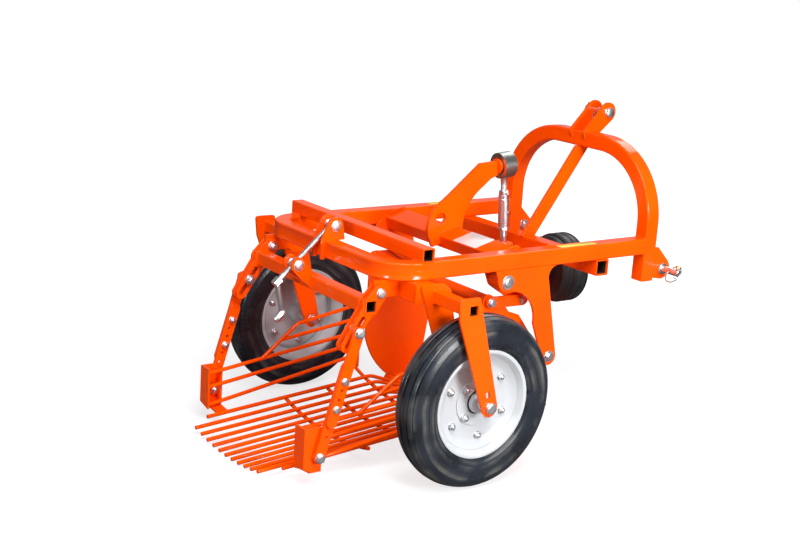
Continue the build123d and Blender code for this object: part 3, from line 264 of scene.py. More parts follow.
# %% Zinc plate
def zinc_plate(tree):
    tint = tree.noise(60.0, 2.0)
    fine = tree.noise(900.0, 2.0)
    colour = tree.mix(tint.clamped(0.38, 0.62), (0.72, 0.75, 0.83, 1), (0.80, 0.78, 0.74, 1))
    rounded = tree.node("ShaderNodeBevel", {"samples": 4}, {"Radius": 0.0006})
    return {
        "Base Color": colour,
        "Roughness": 0.27 + tint * 0.16,
        "Normal": tree.bumps(fine, 0.00003, rounded),
    }, {"Metallic": 1.0}


def yellow_zinc(tree):
    tint = tree.noise(90.0, 2.0)
    colour = tree.mix(tint.clamped(0.35, 0.65), (0.78, 0.52, 0.16, 1), (0.70, 0.60, 0.34, 1))
    return {"Base Color": colour, "Roughness": 0.24 + tint * 0.14}, {"Metallic": 1.0}


finish("zinc_plate", zinc_plate)
finish("yellow_zinc", yellow_zinc)

# %% [markdown]
# ## Machined steel
# The conrod's ring and the shaft are turned on a lathe. The tool leaves hair-fine grooves
# round the axis, which stretch a highlight across them. The grooves are a wave along the
# axis in the bump, since Anisotropic would need a direction on every face.


# %% Machined steel
def machined_steel(tree):
    along = tree.node("ShaderNodeSeparateXYZ", {}, {0: tree.place()}, 0)
    grooves = (along * 5200.0).sum("SINE", along * 5200.0)
    stain = tree.noise(22.0, 3.0)
    colour = tree.mix(stain.clamped(0.35, 0.7), (0.50, 0.52, 0.50, 1), (0.34, 0.36, 0.34, 1))
    rounded = tree.node("ShaderNodeBevel", {"samples": 4}, {"Radius": 0.001})
    return {
        "Base Color": colour,
        "Roughness": 0.24 + stain * 0.18,
        "Normal": tree.bumps(grooves, 0.00002, rounded),
    }, {"Metallic": 1.0}


finish("machined_steel", machined_steel)

# %% [markdown]
# ## Tyre rubber
# New rubber is blue-black and slightly waxy. The mould leaves faint rings round the
# sidewall, and wax and dust rub off in brownish arcs. All of it turns about the axle, so
# the pattern is driven by the distance from the axle, not by a flat texture.

# %% Tyre rubber
AXLE = Vector((-0.1785, 0, 0.2515))


def tyre_rubber(tree):
    x = tree.node("ShaderNodeSeparateXYZ", {}, {0: tree.place()}, 0) - AXLE.x
    z = tree.node("ShaderNodeSeparateXYZ", {}, {0: tree.place()}, 2) - AXLE.z
    radius = (x * x + z * z) ** 0.5
    wander = tree.noise(7.0, 2.0)
    arcs = tree.node(
        "ShaderNodeTexNoise", {"noise_dimensions": "1D"},
        {"W": radius + wander * 0.030, "Scale": 60.0, "Detail": 2.0},
    )
    patchy = tree.noise(10.0, 4.0).clamped(0.42, 0.62)
    smear = arcs.clamped(0.44, 0.60) * patchy
    cloud = tree.noise(11.0, 3.0).clamped(0.35, 0.7)
    colour = tree.mix(cloud, (0.009, 0.011, 0.015, 1), (0.019, 0.023, 0.033, 1))
    colour = tree.mix(smear * 0.6, colour, (0.110, 0.108, 0.094, 1))
    rings = (radius * 1900.0).sum("SINE", radius * 1900.0)
    height = rings * 0.12 + tree.noise(420.0, 2.0) * 0.5
    return {
        "Base Color": colour,
        "Roughness": 0.26 + patchy * 0.16 + smear * 0.2,
        "Normal": tree.bumps(height, 0.00012),
    }, {"Specular IOR Level": 0.4}


finish("tyre_rubber", tyre_rubber)

# %% [markdown]
# ## Black plastic and bare labels
# The shaft's guard is moulded in black polyethylene, dull with a fine grain. The label
# places keep their size and gloss, and stay bare.


# %% Black plastic and labels
def black_plastic(tree):
    scuff = tree.noise(24.0, 4.0)
    colour = tree.mix(scuff.clamped(0.5, 0.8), (0.010, 0.010, 0.011, 1), (0.030, 0.030, 0.032, 1))
    rounded = tree.node("ShaderNodeBevel", {"samples": 4}, {"Radius": 0.0012})
    return {
        "Base Color": colour,
        "Roughness": 0.30 + scuff * 0.25,
        "Normal": tree.bumps(tree.noise(700.0, 2.0), 0.00005, rounded),
    }, {}


def label_film(pale, deep):
    def build(tree):
        wave = tree.noise(30.0, 2.0)
        return {
            "Base Color": tree.mix(wave.clamped(0.35, 0.7), pale, deep),
            "Roughness": 0.26 + wave * 0.1,
            "Normal": tree.bumps(wave, 0.0002),
        }, {"Coat Weight": 0.4, "Coat Roughness": 0.08}

    return build


finish("black_plastic", black_plastic)
finish("white_label", label_film((0.72, 0.70, 0.70, 1), (0.66, 0.61, 0.61, 1)))
finish("yellow_label", label_film((0.84, 0.62, 0.02, 1), (0.78, 0.54, 0.02, 1)))


# Nearly black with a slow mottle: this is painted shade for the inside of the open tube ends.
def painted_shade_lining(tree):
    scale = tree.noise(60.0, 3.0)
    colour = tree.mix(scale.clamped(0.4, 0.7), (0.010, 0.007, 0.006, 1), (0.028, 0.015, 0.010, 1))
    return {"Base Color": colour, "Roughness": 0.7 + scale * 0.2}, {}


finish("painted_shade_lining", painted_shade_lining)

# %% [markdown]
# ## Finish the CAD nodes
# Most plates and tubes already have the right shape, so they keep their mesh and only
# get a finish. A table says which nodes are not orange.

# %% Give each CAD node its finish
NOT_ORANGE = {
    "orange_bent_tube": ["main_frame"],
    "white_paint": ["rim_r", "rim_l"],
    "tyre_rubber": ["tyre_r", "tyre_l"],
    "black_plastic": ["pto_guard"],
    "machined_steel": ["conrod_ring", "pto_shaft", "eccentric"],
    "zinc_plate": [
        "arm_pins", "body_link_pins", "clevis_nut", "conrod_rods", "conrod_sleeve", "crank_screw",
        "hanger_bolts", "hanger_pins", "hitch_pins", "mast_pin", "pivot_bolts", "sieve_shaft",
        "tail_pins", "trunnion", "wheel_axles", "yoke_bolts",
    ],
}
look = {node: name for name, group in NOT_ORANGE.items() for node in group}
for name, node in nodes.items():
    paint = finishes[look.get(name, "orange_paint")]
    for slot in node.material_slots:
        slot.material = paint
print(sum(name not in look for name in nodes), "orange nodes")

# %% [markdown]
# ## A kit for small parts
# Bolts, washers, pins and beads are all rows of loops with a skin between them: a lathe
# turns round loops, a nut has six-sided ones, and a weld bead has small loops along its
# seam. Modifiers on primitive solids could make them too, but one kit that skins loops
# keeps each part to a line of numbers in millimetres, the way a drawing gives them.


def mm(x, y, z):
    return Vector((x, y, z)) / 1000


class Kit:
    """Small parts of one piece, with one finish, riding on one body."""

    def __init__(self, name):
        self.name, self.points, self.faces = name, [], []

    def skin(self, loops, capped=True, closed=False):
        start, count = len(self.points), len(loops[0])
        for loop in loops:
            self.points.extend(loop)
        rows = len(loops)
        for row in range(rows if closed else rows - 1):
            a, b = start + row * count, start + (row + 1) % rows * count
            for i in range(count):
                j = (i + 1) % count
                self.faces.append((a + i, a + j, b + j, b + i))
        if capped and not closed:
            self.faces.append(tuple(reversed(range(start, start + count))))
            self.faces.append(tuple(range(start + (rows - 1) * count, start + rows * count)))

    def turned(self, origin, axis, profile, steps=32, ring=False):
        """Lathe work: profile rows are (along the axis, radius), in millimetres."""
        u, v, w = square_to(axis)
        loops = [
            [origin + (w * along + (u * cos(tau * i / steps) + v * sin(tau * i / steps)) * radius) / 1000
             for i in range(steps)]
            for along, radius in profile
        ]
        self.skin(loops, not ring, ring)

    def hexagon(self, origin, axis, across, height, start=0.0, turn=0.0):
        """A nut or a bolt head, its corners cut back by a 30-degree chamfer."""
        u, v, w = square_to(axis)
        flat, cut = across / 2, 0.12 * across / 2
        loops = []
        for along, depth in (
            (0, 0.0), (cut, cut), (height - cut, cut), (height - cut / 2, cut / 2),
            (height, 0.0),
        ):
            loop = []
            for i in range(48):
                angle = tau * i / 48
                six = flat / cos((angle % (pi / 3)) - pi / 6)
                radius = min(six, 0.96 * flat + depth * 1.73)
                spin = angle + turn
                loop.append(origin + (w * (start + along) + (u * cos(spin) + v * sin(spin)) * radius) / 1000)
            loops.append(loop)
        self.skin(loops)

    def washer(self, origin, axis, radius, thick, start=0.0, bore=5.0):
        edge = min(0.5, thick / 3)
        self.turned(origin, axis, [
            (start, bore), (start, radius - edge), (start + edge, radius),
            (start + thick - edge, radius), (start + thick, radius - edge), (start + thick, bore),
        ], 40, True)

    def thread(self, origin, axis, radius, start, length, pitch=2.0):
        """Screw thread, drawn as a row of ridges."""
        profile = [(start, radius * 0.6), (start, radius * 0.86)]
        turns = max(1, int(length / pitch))
        for k in range(turns):
            low = start + k * length / turns
            profile += [(low + 0.45 * length / turns, radius), (low + length / turns, radius * 0.88)]
        profile.append((start + length + 0.6, radius * 0.7))
        self.turned(origin, axis, profile, 24)

    def wire(self, path, radius, steps=10, closed=False):
        """Round wire or bar along a path in metres; radius in millimetres, one or one a point."""
        rows = len(path)
        loops, side = [], None
        for k, point in enumerate(path):
            ahead = path[(k + 1) % rows] if closed or k < rows - 1 else point
            behind = path[k - 1] if closed or k else point
            w = (ahead - behind).normalized()
            if side is None:
                side = square_to(w)[0]
            side = (side - w * side.dot(w)).normalized()
            other = w.cross(side)
            size = radius[k] if isinstance(radius, list) else radius
            loops.append([point + (side * cos(tau * i / steps) + other * sin(tau * i / steps)) * size / 1000
                          for i in range(steps)])
        self.skin(loops, True, closed)

    def bead(self, start, end, radius=3.2):
        """A weld bead: rippled, a little uneven, tapering at both ends."""
        length = (end - start).length * 1000
        rows = max(6, int(length / 1.6))
        path, sizes = [], []
        for k in range(rows + 1):
            s = k / rows
            path.append(start.lerp(end, s))
            taper = min(1.0, 0.35 + 9 * min(s, 1 - s) * length / 60)
            sizes.append(radius * taper * (1 + 0.13 * sin(k * 2.1) + 0.07 * sin(k * 0.53 + length)))
        self.wire(path, sizes, 8)

    def make(self, body, paint, smooth=35, replaces=()):
        mesh = bpy.data.meshes.new(self.name)
        mesh.from_pydata(self.points, [], self.faces)
        mesh.validate()
        mesh.shade_smooth()
        mesh.set_sharp_from_angle(angle=radians(smooth))
        mesh.materials.append(finishes[paint])
        piece = bpy.data.objects.new(self.name, mesh)
        bpy.context.scene.collection.objects.link(piece)
        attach(piece, body)
        if replaces:
            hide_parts(*replaces)
        print(f"{self.name}: {len(mesh.polygons)} faces on {body}")
        return piece


def square_to(axis):
    """Two directions square to an axis, and the axis itself."""
    w = Vector(axis).normalized()
    u = (Vector((0, 0, 1)) if abs(w.z) < 0.9 else Vector((1, 0, 0))).cross(w).normalized()
    return u, w.cross(u), w


print("kit ready")

# %% [markdown]
# ## Wheels
# The tyre is a narrow ribbed implement tyre: tall ribs run round it so that the machine
# tracks straight behind the tractor. On the real tyre they come out of the mould with the
# carcass. A displacement texture could raise them, but a lathe profile gives clean groove
# walls at any distance. The rim is pressed sheet with rolled flanges, so its profile has
# rounded corners. Its dished disc runs smoothly into it and is bolted to a flanged hub,
# where a rubber seal closes the bearing.

# %% Tyres
HALF_TRACK = 0.4765
TREAD = [
    # half-width, radius
    (38.7, 148.0), (38.9, 156.0), (41.5, 160.5), (46.0, 164.5), (49.2, 172.0), (51.0, 184.0),
    (51.5, 198.0), (51.2, 208.0), (50.4, 216.0), (50.8, 217.2), (50.2, 219.0), (48.6, 225.5),
    (46.2, 231.0), (43.2, 235.8), (41.0, 238.2), (40.2, 237.8), (39.6, 233.6), (37.4, 233.4),
    (36.9, 239.6), (36.0, 241.4), (31.5, 244.0), (25.5, 246.6), (24.6, 246.0), (24.0, 240.2),
    (21.0, 240.2), (20.4, 247.0), (19.4, 248.0), (12.0, 250.2), (6.4, 251.1), (5.4, 250.4),
    (4.8, 244.2),
]


MOULD_VENTS = 0.2285


def tyre(side, sign):
    kit = Kit(f"tyre_{side}_ribbed")
    middle = Vector((AXLE.x, sign * HALF_TRACK, AXLE.z))
    half = [(-w, r) for w, r in TREAD] + [(w, r) for w, r in reversed(TREAD)]
    kit.turned(middle, (0, 1, 0), half + [(30, 146), (-30, 146)], 160, True)
    for k in range(12):
        angle = tau * (k + 0.3) / 12
        spot = middle + Vector((cos(angle), 0, sin(angle))) * MOULD_VENTS
        for face in (-1, 1):
            kit.turned(spot, (0, face, 0), [(46.5, 1.2), (48.4, 1.0), (49.4, 0.5)], 8)
    kit.make(f"wheel_{side}", "tyre_rubber", 28, [f"tyre_{side[0]}"])


tyre("right", -1)
tyre("left", 1)

# %% Rims, with hub, bolts and seal
RIM = [
    # half-width, radius, from the flange's lip down into the well
    (40.0, 157.2), (41.6, 157.4), (42.4, 156.0), (42.3, 151.0), (41.2, 147.2), (38.0, 144.8),
    (22.0, 134.5), (17.5, 130.0), (14.0, 127.4),
]
DISC = [
    # along the axle toward the outside, radius; a closed section
    (5.0, 22.0), (5.0, 60.0), (5.0, 112.0), (8.0, 121.0), (16.0, 131.0), (24.0, 138.0), (25.5, 136.6),
    (19.0, 128.0), (13.5, 119.5), (10.6, 112.0), (10.0, 106.0), (10.0, 60.0), (10.0, 22.0),
]
HUB = [
    (-30.0, 10.2), (-30.0, 27.0), (-28.6, 29.4), (-20.0, 30.0), (4.0, 30.0), (5.2, 34.0), (5.2, 70.0),
    (10.4, 70.0), (13.0, 68.6), (14.4, 34.0), (16.2, 30.6), (28.6, 29.4), (30.0, 28.0), (30.0, 10.2),
]
SEAL = [(14.0, 30.4), (14.0, 34.4), (16.0, 34.6), (17.2, 33.4), (17.6, 31.0)]
DISC_BOLTS, HUB_BOLTS = 0.102, 0.058


def rim(side, sign):
    middle = Vector((AXLE.x, sign * HALF_TRACK, AXLE.z))
    kit = Kit(f"rim_{side}_pressed")
    outer = [(-w, r) for w, r in RIM] + [(w, r) for w, r in reversed(RIM)]
    inner = [(w * (0.93 if r > 150 else 0.985), r + 2.6) for w, r in reversed(outer)]
    kit.turned(middle, (0, 1, 0), outer + inner, 128, True)
    out = Vector((0, sign, 0))
    kit.turned(middle, out, DISC, 128, True)
    kit.turned(middle, out, HUB, 64, True)
    kit.make(f"wheel_{side}", "white_paint", 34, [f"rim_{side[0]}"])

    bolts = Kit(f"rim_bolts_{side}")
    for k in range(6):
        angle = radians(37 + 60 * k)
        spot = middle + Vector((cos(angle), 0, sin(angle))) * DISC_BOLTS
        for face, start in ((sign, 10.0), (-sign, -5.0)):
            bolts.washer(spot, (0, face, 0), 11.5, 1.8, start, 4)
            bolts.hexagon(spot, (0, face, 0), 17, 8.0, start + 1.8, k * 0.7)
        bolts.thread(spot, (0, sign, 0), 5, 19.5, 4.0, 1.25)
    for k in range(4):
        angle = radians(45 + 90 * k)
        spot = middle + Vector((cos(angle), 0, sin(angle))) * HUB_BOLTS
        bolts.washer(spot, out, 12.0, 1.8, 13.2, 4)
        bolts.hexagon(spot, out, 19, 9.5, 15.0, k * 0.5)
        bolts.thread(spot, out, 6, 24.5, 5.0, 1.5)
    bolts.make(f"wheel_{side}", "zinc_plate")

    seal = Kit(f"hub_seal_{side}")
    seal.turned(middle, out, SEAL, 48, True)
    seal.make(f"wheel_{side}", "black_plastic")


rim("right", -1)
rim("left", 1)

# %% [markdown]
# ## Bolts and pins
# Every pivot on the machine is a bolt or a pin across it. In the CAD each is a plain
# cylinder with a plain hexagon. Here each row of a table becomes a washer, a chamfered
# head, a shank and, where it shows, a nut with a few turns of thread beyond it.

# %% Pivot bolts
BOLTS = {
    # node: body, rows of (x, z, shank radius, shank from, shank to, head across, head at,
    #       head height, washer radius, nut at or None)
    "pivot_bolts": ("frame", [
        (21.0, 540.0, 12.0, 286.0, 351.0, 27.0, 350.0, 8.5, 21.5, None),
        (207.0, 291.0, 10.0, 286.0, 351.0, 24.0, 350.0, 9.0, 18.0, None),
    ]),
    "arm_pins": ("rocker", [(123.0, 466.0, 8.0, 294.0, 308.0, 22.0, 307.5, 8.0, 14.0, None)]),
    "body_link_pins": ("digging_body", [(2.0, 469.0, 8.0, 266.0, 308.0, 22.0, 307.5, 8.0, 14.0, None)]),
    "yoke_bolts": ("frame", [(-401.0, 541.0, 8.0, 262.0, 318.0, 24.0, 311.0, 10.0, 14.5, 281.0)]),
    "hanger_bolts": ("hangers", [
        (-537.3, 230.1, 6.0, 300.0, 328.0, 19.0, 328.0, 7.5, 11.0, 312.0),
        (-514.3, 307.7, 6.0, 300.0, 328.0, 19.0, 328.0, 7.5, 11.0, 312.0),
    ]),
    "hanger_pins": ("hanger_pivots", [(-475.0, 440.0, 8.0, 263.0, 330.0, 24.0, 328.5, 11.0, 15.5, 281.0)]),
    "tail_pins": ("sieve_tray", [(-578.0, 93.0, 8.0, 286.0, 324.0, 24.0, 320.5, 10.0, 15.0, 300.0)]),
    "wheel_axles": ("frame", [(-178.5, 251.5, 10.0, 362.0, 549.0, 30.0, 549.0, 11.0, 17.0, 381.0)]),
}
SPACERS = {
    # node: rows of (x, z, radius, from, to)
    "hanger_pins": [(-475.0, 440.0, 14.0, 311.5, 319.5)],
    "tail_pins": [(-578.0, 93.0, 15.0, 306.0, 311.5)],
    "wheel_axles": [(-178.5, 251.5, 15.0, 389.0, 446.0), (-178.5, 251.5, 15.0, 507.0, 541.0)],
}


def bolt_set(node, body, rows):
    kit = Kit(f"{node}_set")
    for sign in (-1, 1):
        out = Vector((0, sign, 0))
        for x, z, shank, low, high, across, head, tall, washer, nut in rows:
            centre = mm(x, 0, z)
            kit.turned(centre, out, [(low, shank - 1), (low + 1, shank), (high, shank)], 28)
            kit.washer(centre, out, washer, 2.5, head, shank - 1)
            kit.hexagon(centre, out, across, tall - 2.5, head + 2.5, 0.2 + x)
            top = head + tall
            kit.turned(centre, out, [
                (top - 0.4, across * 0.40), (top + 0.35, across * 0.37), (top + 0.35, across * 0.05)
            ], 28)
            if nut:
                kit.washer(centre, -out, washer, 2.2, -nut, shank - 1)
                kit.hexagon(centre, -out, across, shank * 1.2, 2.2 - nut, 0.7 + z)
                deep = shank * 1.2
                kit.thread(centre, -out, shank, 2.2 - nut + deep, max(3.0, nut - low - deep - 3))
        for x, z, radius, low, high in SPACERS.get(node, ()):
            kit.turned(mm(x, 0, z), out, [
                (low, radius - 1), (low + 0.8, radius), (high - 0.8, radius), (high, radius - 1)
            ], 32)
    kit.make(body, "zinc_plate", 32, [node])


for node, (body, rows) in BOLTS.items():
    bolt_set(node, body, rows)

# %% [markdown]
# ## Hitch pins and linchpins
# The tractor's arms slip over the two lower pins, and a linchpin keeps them on: a short
# pin with a yellow head, closed by a spring ring that snaps over the hitch pin's end. The
# ring is a closed loop of wire, slightly out of round.


# %% Linchpins and hitch pins
def linchpin(kit, head_kit, ring_kit, spot, lean, ring_drop, swing):
    """spot: middle of the hitch pin's cross hole; lean: the linchpin's own direction."""
    u, v, w = square_to(lean)
    kit.turned(spot, w, [(-19, 2.5), (-17, 4.2), (14, 4.5)], 20)
    head_kit.turned(spot, w, [(13, 5), (13.5, 8.2), (17, 9.0), (21, 8.4), (23.5, 5.5), (24, 2)], 28)
    head_kit.turned(spot + w * 0.0185, u, [(-10.5, 3.6), (10.5, 3.6)], 16)
    plane = (w * cos(swing) + v * sin(swing)).normalized()
    path = []
    for i in range(40):
        angle = tau * i / 40
        path.append(spot + w * 0.0185 + plane * (-ring_drop + ring_drop * cos(angle)) / 1000
                    + u * (ring_drop * 0.88 * sin(angle)) / 1000)
    ring_kit.wire(path, 1.9, 8, True)


pins = Kit("hitch_pins_turned")
heads = Kit("linchpin_heads")
rings = Kit("linchpin_rings")
for sign in (-1, 1):
    out = Vector((0, sign, 0))
    centre = mm(666, 0, 521)
    pins.turned(centre, out, [(332, 10), (333, 11), (416, 11), (419, 8.6)], 40)
    pins.turned(centre, out, [(342, 12), (342, 17.5), (344, 18.5), (349, 18.5), (351, 16.5), (351, 12)], 40)
    pins.washer(centre, -out, 19, 2.5, -334, 9)
    pins.hexagon(centre, -out, 32, 15, -331.5, 0.4)
    linchpin(pins, heads, rings, centre + out * 0.406, (0.35, 0, 1), 29, 0.4)
pins.make("frame", "zinc_plate", 32, ["hitch_pins"])

mast = Kit("mast_pin_turned")
centre = mm(666, 0, 975)
mast.turned(centre, (0, 1, 0), [(-38, 9.5), (54, 9.5), (56, 7.5)], 36)
mast.washer(centre, (0, -1, 0), 17, 2.5, 35, 8)
mast.hexagon(centre, (0, -1, 0), 30, 10, 37.5, 0.3)
linchpin(mast, heads, rings, centre + mm(0, 47, 0), (-0.25, 0, 1), 27, 0.35)
mast.make("frame", "zinc_plate", 32, ["mast_pin"])
heads.make("frame", "yellow_zinc", 32)
rings.make("frame", "machined_steel", 32)

# %% [markdown]
# ## Connecting rod
# The rod has to be set to length, so it is cut in two and joined by a long sleeve with
# a right-hand thread at one end and a left-hand one at the other. A lock nut at each end
# holds the setting, and a bar through the cross hole turns it.

# %% Connecting rod
RING_AT, SHAFT_AT = mm(267, 0, 813), mm(300, 0, 455)
rod_up = (RING_AT - SHAFT_AT).normalized()


def on_rod(height):
    """Point of the rod's axis at a height in millimetres."""
    return RING_AT - rod_up * ((RING_AT.z - height / 1000) / rod_up.z)


rods = Kit("conrod_rods_threaded")
low, high = 716.0, 772.5
rods.turned(on_rod(high), -rod_up, [(-2, 12.5), (1, 11.4), (4, 10.4), (20, 10.0)], 28)
rods.thread(on_rod(high), -rod_up, 10.0, 20, (high - low) / rod_up.z - 12, 2.0)
rods.thread(on_rod(612), -rod_up, 10.0, -4, 36, 2.0)
rods.turned(on_rod(612), -rod_up, [(30, 10.0), (60, 10.0)], 28)
for height, toward, turn in ((718.0, rod_up, 0.3), (612.0, -rod_up, 0.9)):
    rods.hexagon(on_rod(height), toward, 30, 12, 0.2, turn)
rods.make("connecting_rod", "zinc_plate", 32, ["conrod_rods"])

sleeve = Kit("conrod_sleeve_turned")
long = (718.0 - 612.0) / rod_up.z
sleeve.turned(on_rod(612), rod_up, [
    (0, 10.1), (0, 14.8), (1.6, 16.6), (13, 16.6), (14.5, 17.6), (long - 14.5, 17.6),
    (long - 13, 16.6), (long - 1.6, 16.6), (long, 14.8), (long, 10.1)], 48, True)
for sign in (-1, 1):
    sleeve.turned(on_rod(665), (0, sign, 0), [(17.0, 5.6), (17.9, 5.4), (17.9, 4.4), (17.0, 4.4)], 24, True)
sleeve.make("connecting_rod", "zinc_plate", 32, ["conrod_sleeve"])

# %% The rod's foot
foot = Kit("conrod_foot")
middle = on_rod(547)
u, v, w = square_to(rod_up)
loops = []
for lift, size_x, size_y, corner in (
    (-26, 20, 24, 9), (-14, 21, 29, 10), (10, 21, 31, 11), (13.5, 20, 30, 11), (15, 18, 28, 10),
):
    loop = []
    for quarter, (sx, sy) in enumerate(((1, 1), (-1, 1), (-1, -1), (1, -1))):
        for k in range(7):
            angle = quarter * pi / 2 + k * pi / 12
            loop.append(middle + (w * lift + v * (sx * (size_x - corner) + corner * cos(angle))
                                  + u * (sy * (size_y - corner) + corner * sin(angle))) / 1000)
    loops.append(loop)
foot.skin(loops)
foot.make("connecting_rod", "orange_paint", 40)

# %% [markdown]
# ## Shaft and its housing
# The drive shaft runs in a long bearing housing that hangs from the lower cross tube.
# Its splined front end takes the tractor's drive shaft inside the guard, and the
# eccentric sits on its rear end, clear of the housing, with the connecting rod above it.

# %% Shaft housing
housing = Kit("shaft_housing")
middle = mm(0, 0, 455)
housing.turned(middle, (1, 0, 0), [
    (330, 17.4), (330, 34.0), (331.5, 36.5), (341, 38.0), (343, 40.5), (352, 40.5), (354, 38.0),
    (436, 38.0), (438, 40.5), (447, 40.5), (449, 38.0), (459, 36.5), (460, 34.0), (460, 17.4)], 64, True)
for x in (376.0, 407.0):
    outline = [(-58, 524.6), (58, 524.6), (58, 512)]
    outline += [(46 * sin(radians(a)), 455 + 46 * cos(radians(a))) for a in range(70, 291, 10)]
    outline += [(-58, 512)]
    rounded = [[mm(x + dx, y, z) for y, z in outline] for dx in (0, 0, 8, 8)]
    housing.skin([rounded[1], rounded[2]])
housing.make("frame", "orange_paint", 35, ["front_cross_tube", "shaft_bearings"])

shaft = Kit("pto_shaft_turned")
shaft.turned(middle, (1, 0, 0), [
    (276, 13.5), (277.5, 15), (435, 15), (437, 16.6), (462, 16.6), (463, 15.2)
], 40)
SPLINE_ROOT = 14.9
splines = []
for along, crest in (
    (462, 16.4), (464, 17.4), (522, 17.4), (524, 15.6), (528, 15.6), (530, 17.4), (556, 17.4), (558.5, 15.4),
):
    loop = []
    for k in range(6):
        for turn_by, radius in (
            (-19, SPLINE_ROOT), (-15, SPLINE_ROOT), (-14, crest), (14, crest),
            (15, SPLINE_ROOT), (30, SPLINE_ROOT),
        ):
            angle = radians(60 * k + turn_by)
            loop.append(middle + mm(along, radius * cos(angle), radius * sin(angle)))
    splines.append(loop)
shaft.skin(splines)
shaft.make("pto", "machined_steel", 32, ["pto_shaft"])

# %% [markdown]
# ## Adjusting screw and crank
# Turning the crank draws the yoke toward the frame and lifts the sieve's tail. The screw
# runs through two cross pins, the trunnion on the frame and the nut on the yoke, and both
# show as pale round ends in their ears.

# %% Adjusting screw
CLEVIS, TRUNNION = mm(-491, 0, 560), mm(-371, 0, 667)
screw_up = (TRUNNION - CLEVIS).normalized()
reach = (TRUNNION - CLEVIS).length * 1000
screw = Kit("crank_screw_threaded")
hub = CLEVIS - screw_up * 0.074
screw.turned(hub, screw_up, [(0, 8.0), (30, 8.0)], 28)
screw.thread(hub, screw_up, 8.0, 28, 74 + reach + 26 - 28, 3.0)
screw.hexagon(hub, screw_up, 24, 24, -12, 0.25)
end = hub + mm(22, 0, -95)
path = [hub.lerp(end, k / 12) for k in range(13)]
screw.wire(path, [8.6 - 0.12 * k for k in range(13)], 20)
screw.turned(end, -screw_up, [
    (-8, 6), (-7, 9), (0, 11), (6, 12.2), (16, 12.8), (25, 12.4), (31, 9.5), (33, 4)
], 32)
screw.make("screw", "zinc_plate", 32, ["crank_screw"])

for name, spot, body, bore in (
    ("trunnion", TRUNNION, "screw_trunnion", 9.2), ("clevis_nut", CLEVIS, "screw", 8.1),
):
    barrel = Kit(f"{name}_turned")
    for sign in (-1, 1):
        out = Vector((0, sign, 0))
        barrel.turned(spot, out, [(bore + 0.4, 12.5), (bore + 1.4, 14), (16.5, 14), (17.5, 13)], 36)
        barrel.turned(spot, out, [(16, 10), (28, 10)], 36)
        barrel.washer(spot, out, 17, 2.4, 26.3, 9)
        barrel.turned(spot, out, [(26.5, 13.5), (30.2, 14.6), (32.4, 14.0), (33.6, 11.5), (33.8, 2)], 36)
    barrel.turned(spot, screw_up, [
        (-13.5, bore + 0.1), (-13.5, 12.5), (-12.5, 13.8), (12.5, 13.8), (13.5, 12.5), (13.5, bore + 0.1)
    ], 36, True)
    barrel.make(body, "zinc_plate", 32, [name])

# %% [markdown]
# ## Weld beads
# The frame is welded from cut tube and plate, and its seams are the clearest sign of a
# fabricated machine. A bump map can't show a bead in silhouette, so each one is a small
# rippled mesh that sits in its corner. The table gives the two ends of each right-hand
# seam, and the machine is symmetrical, so each is mirrored.

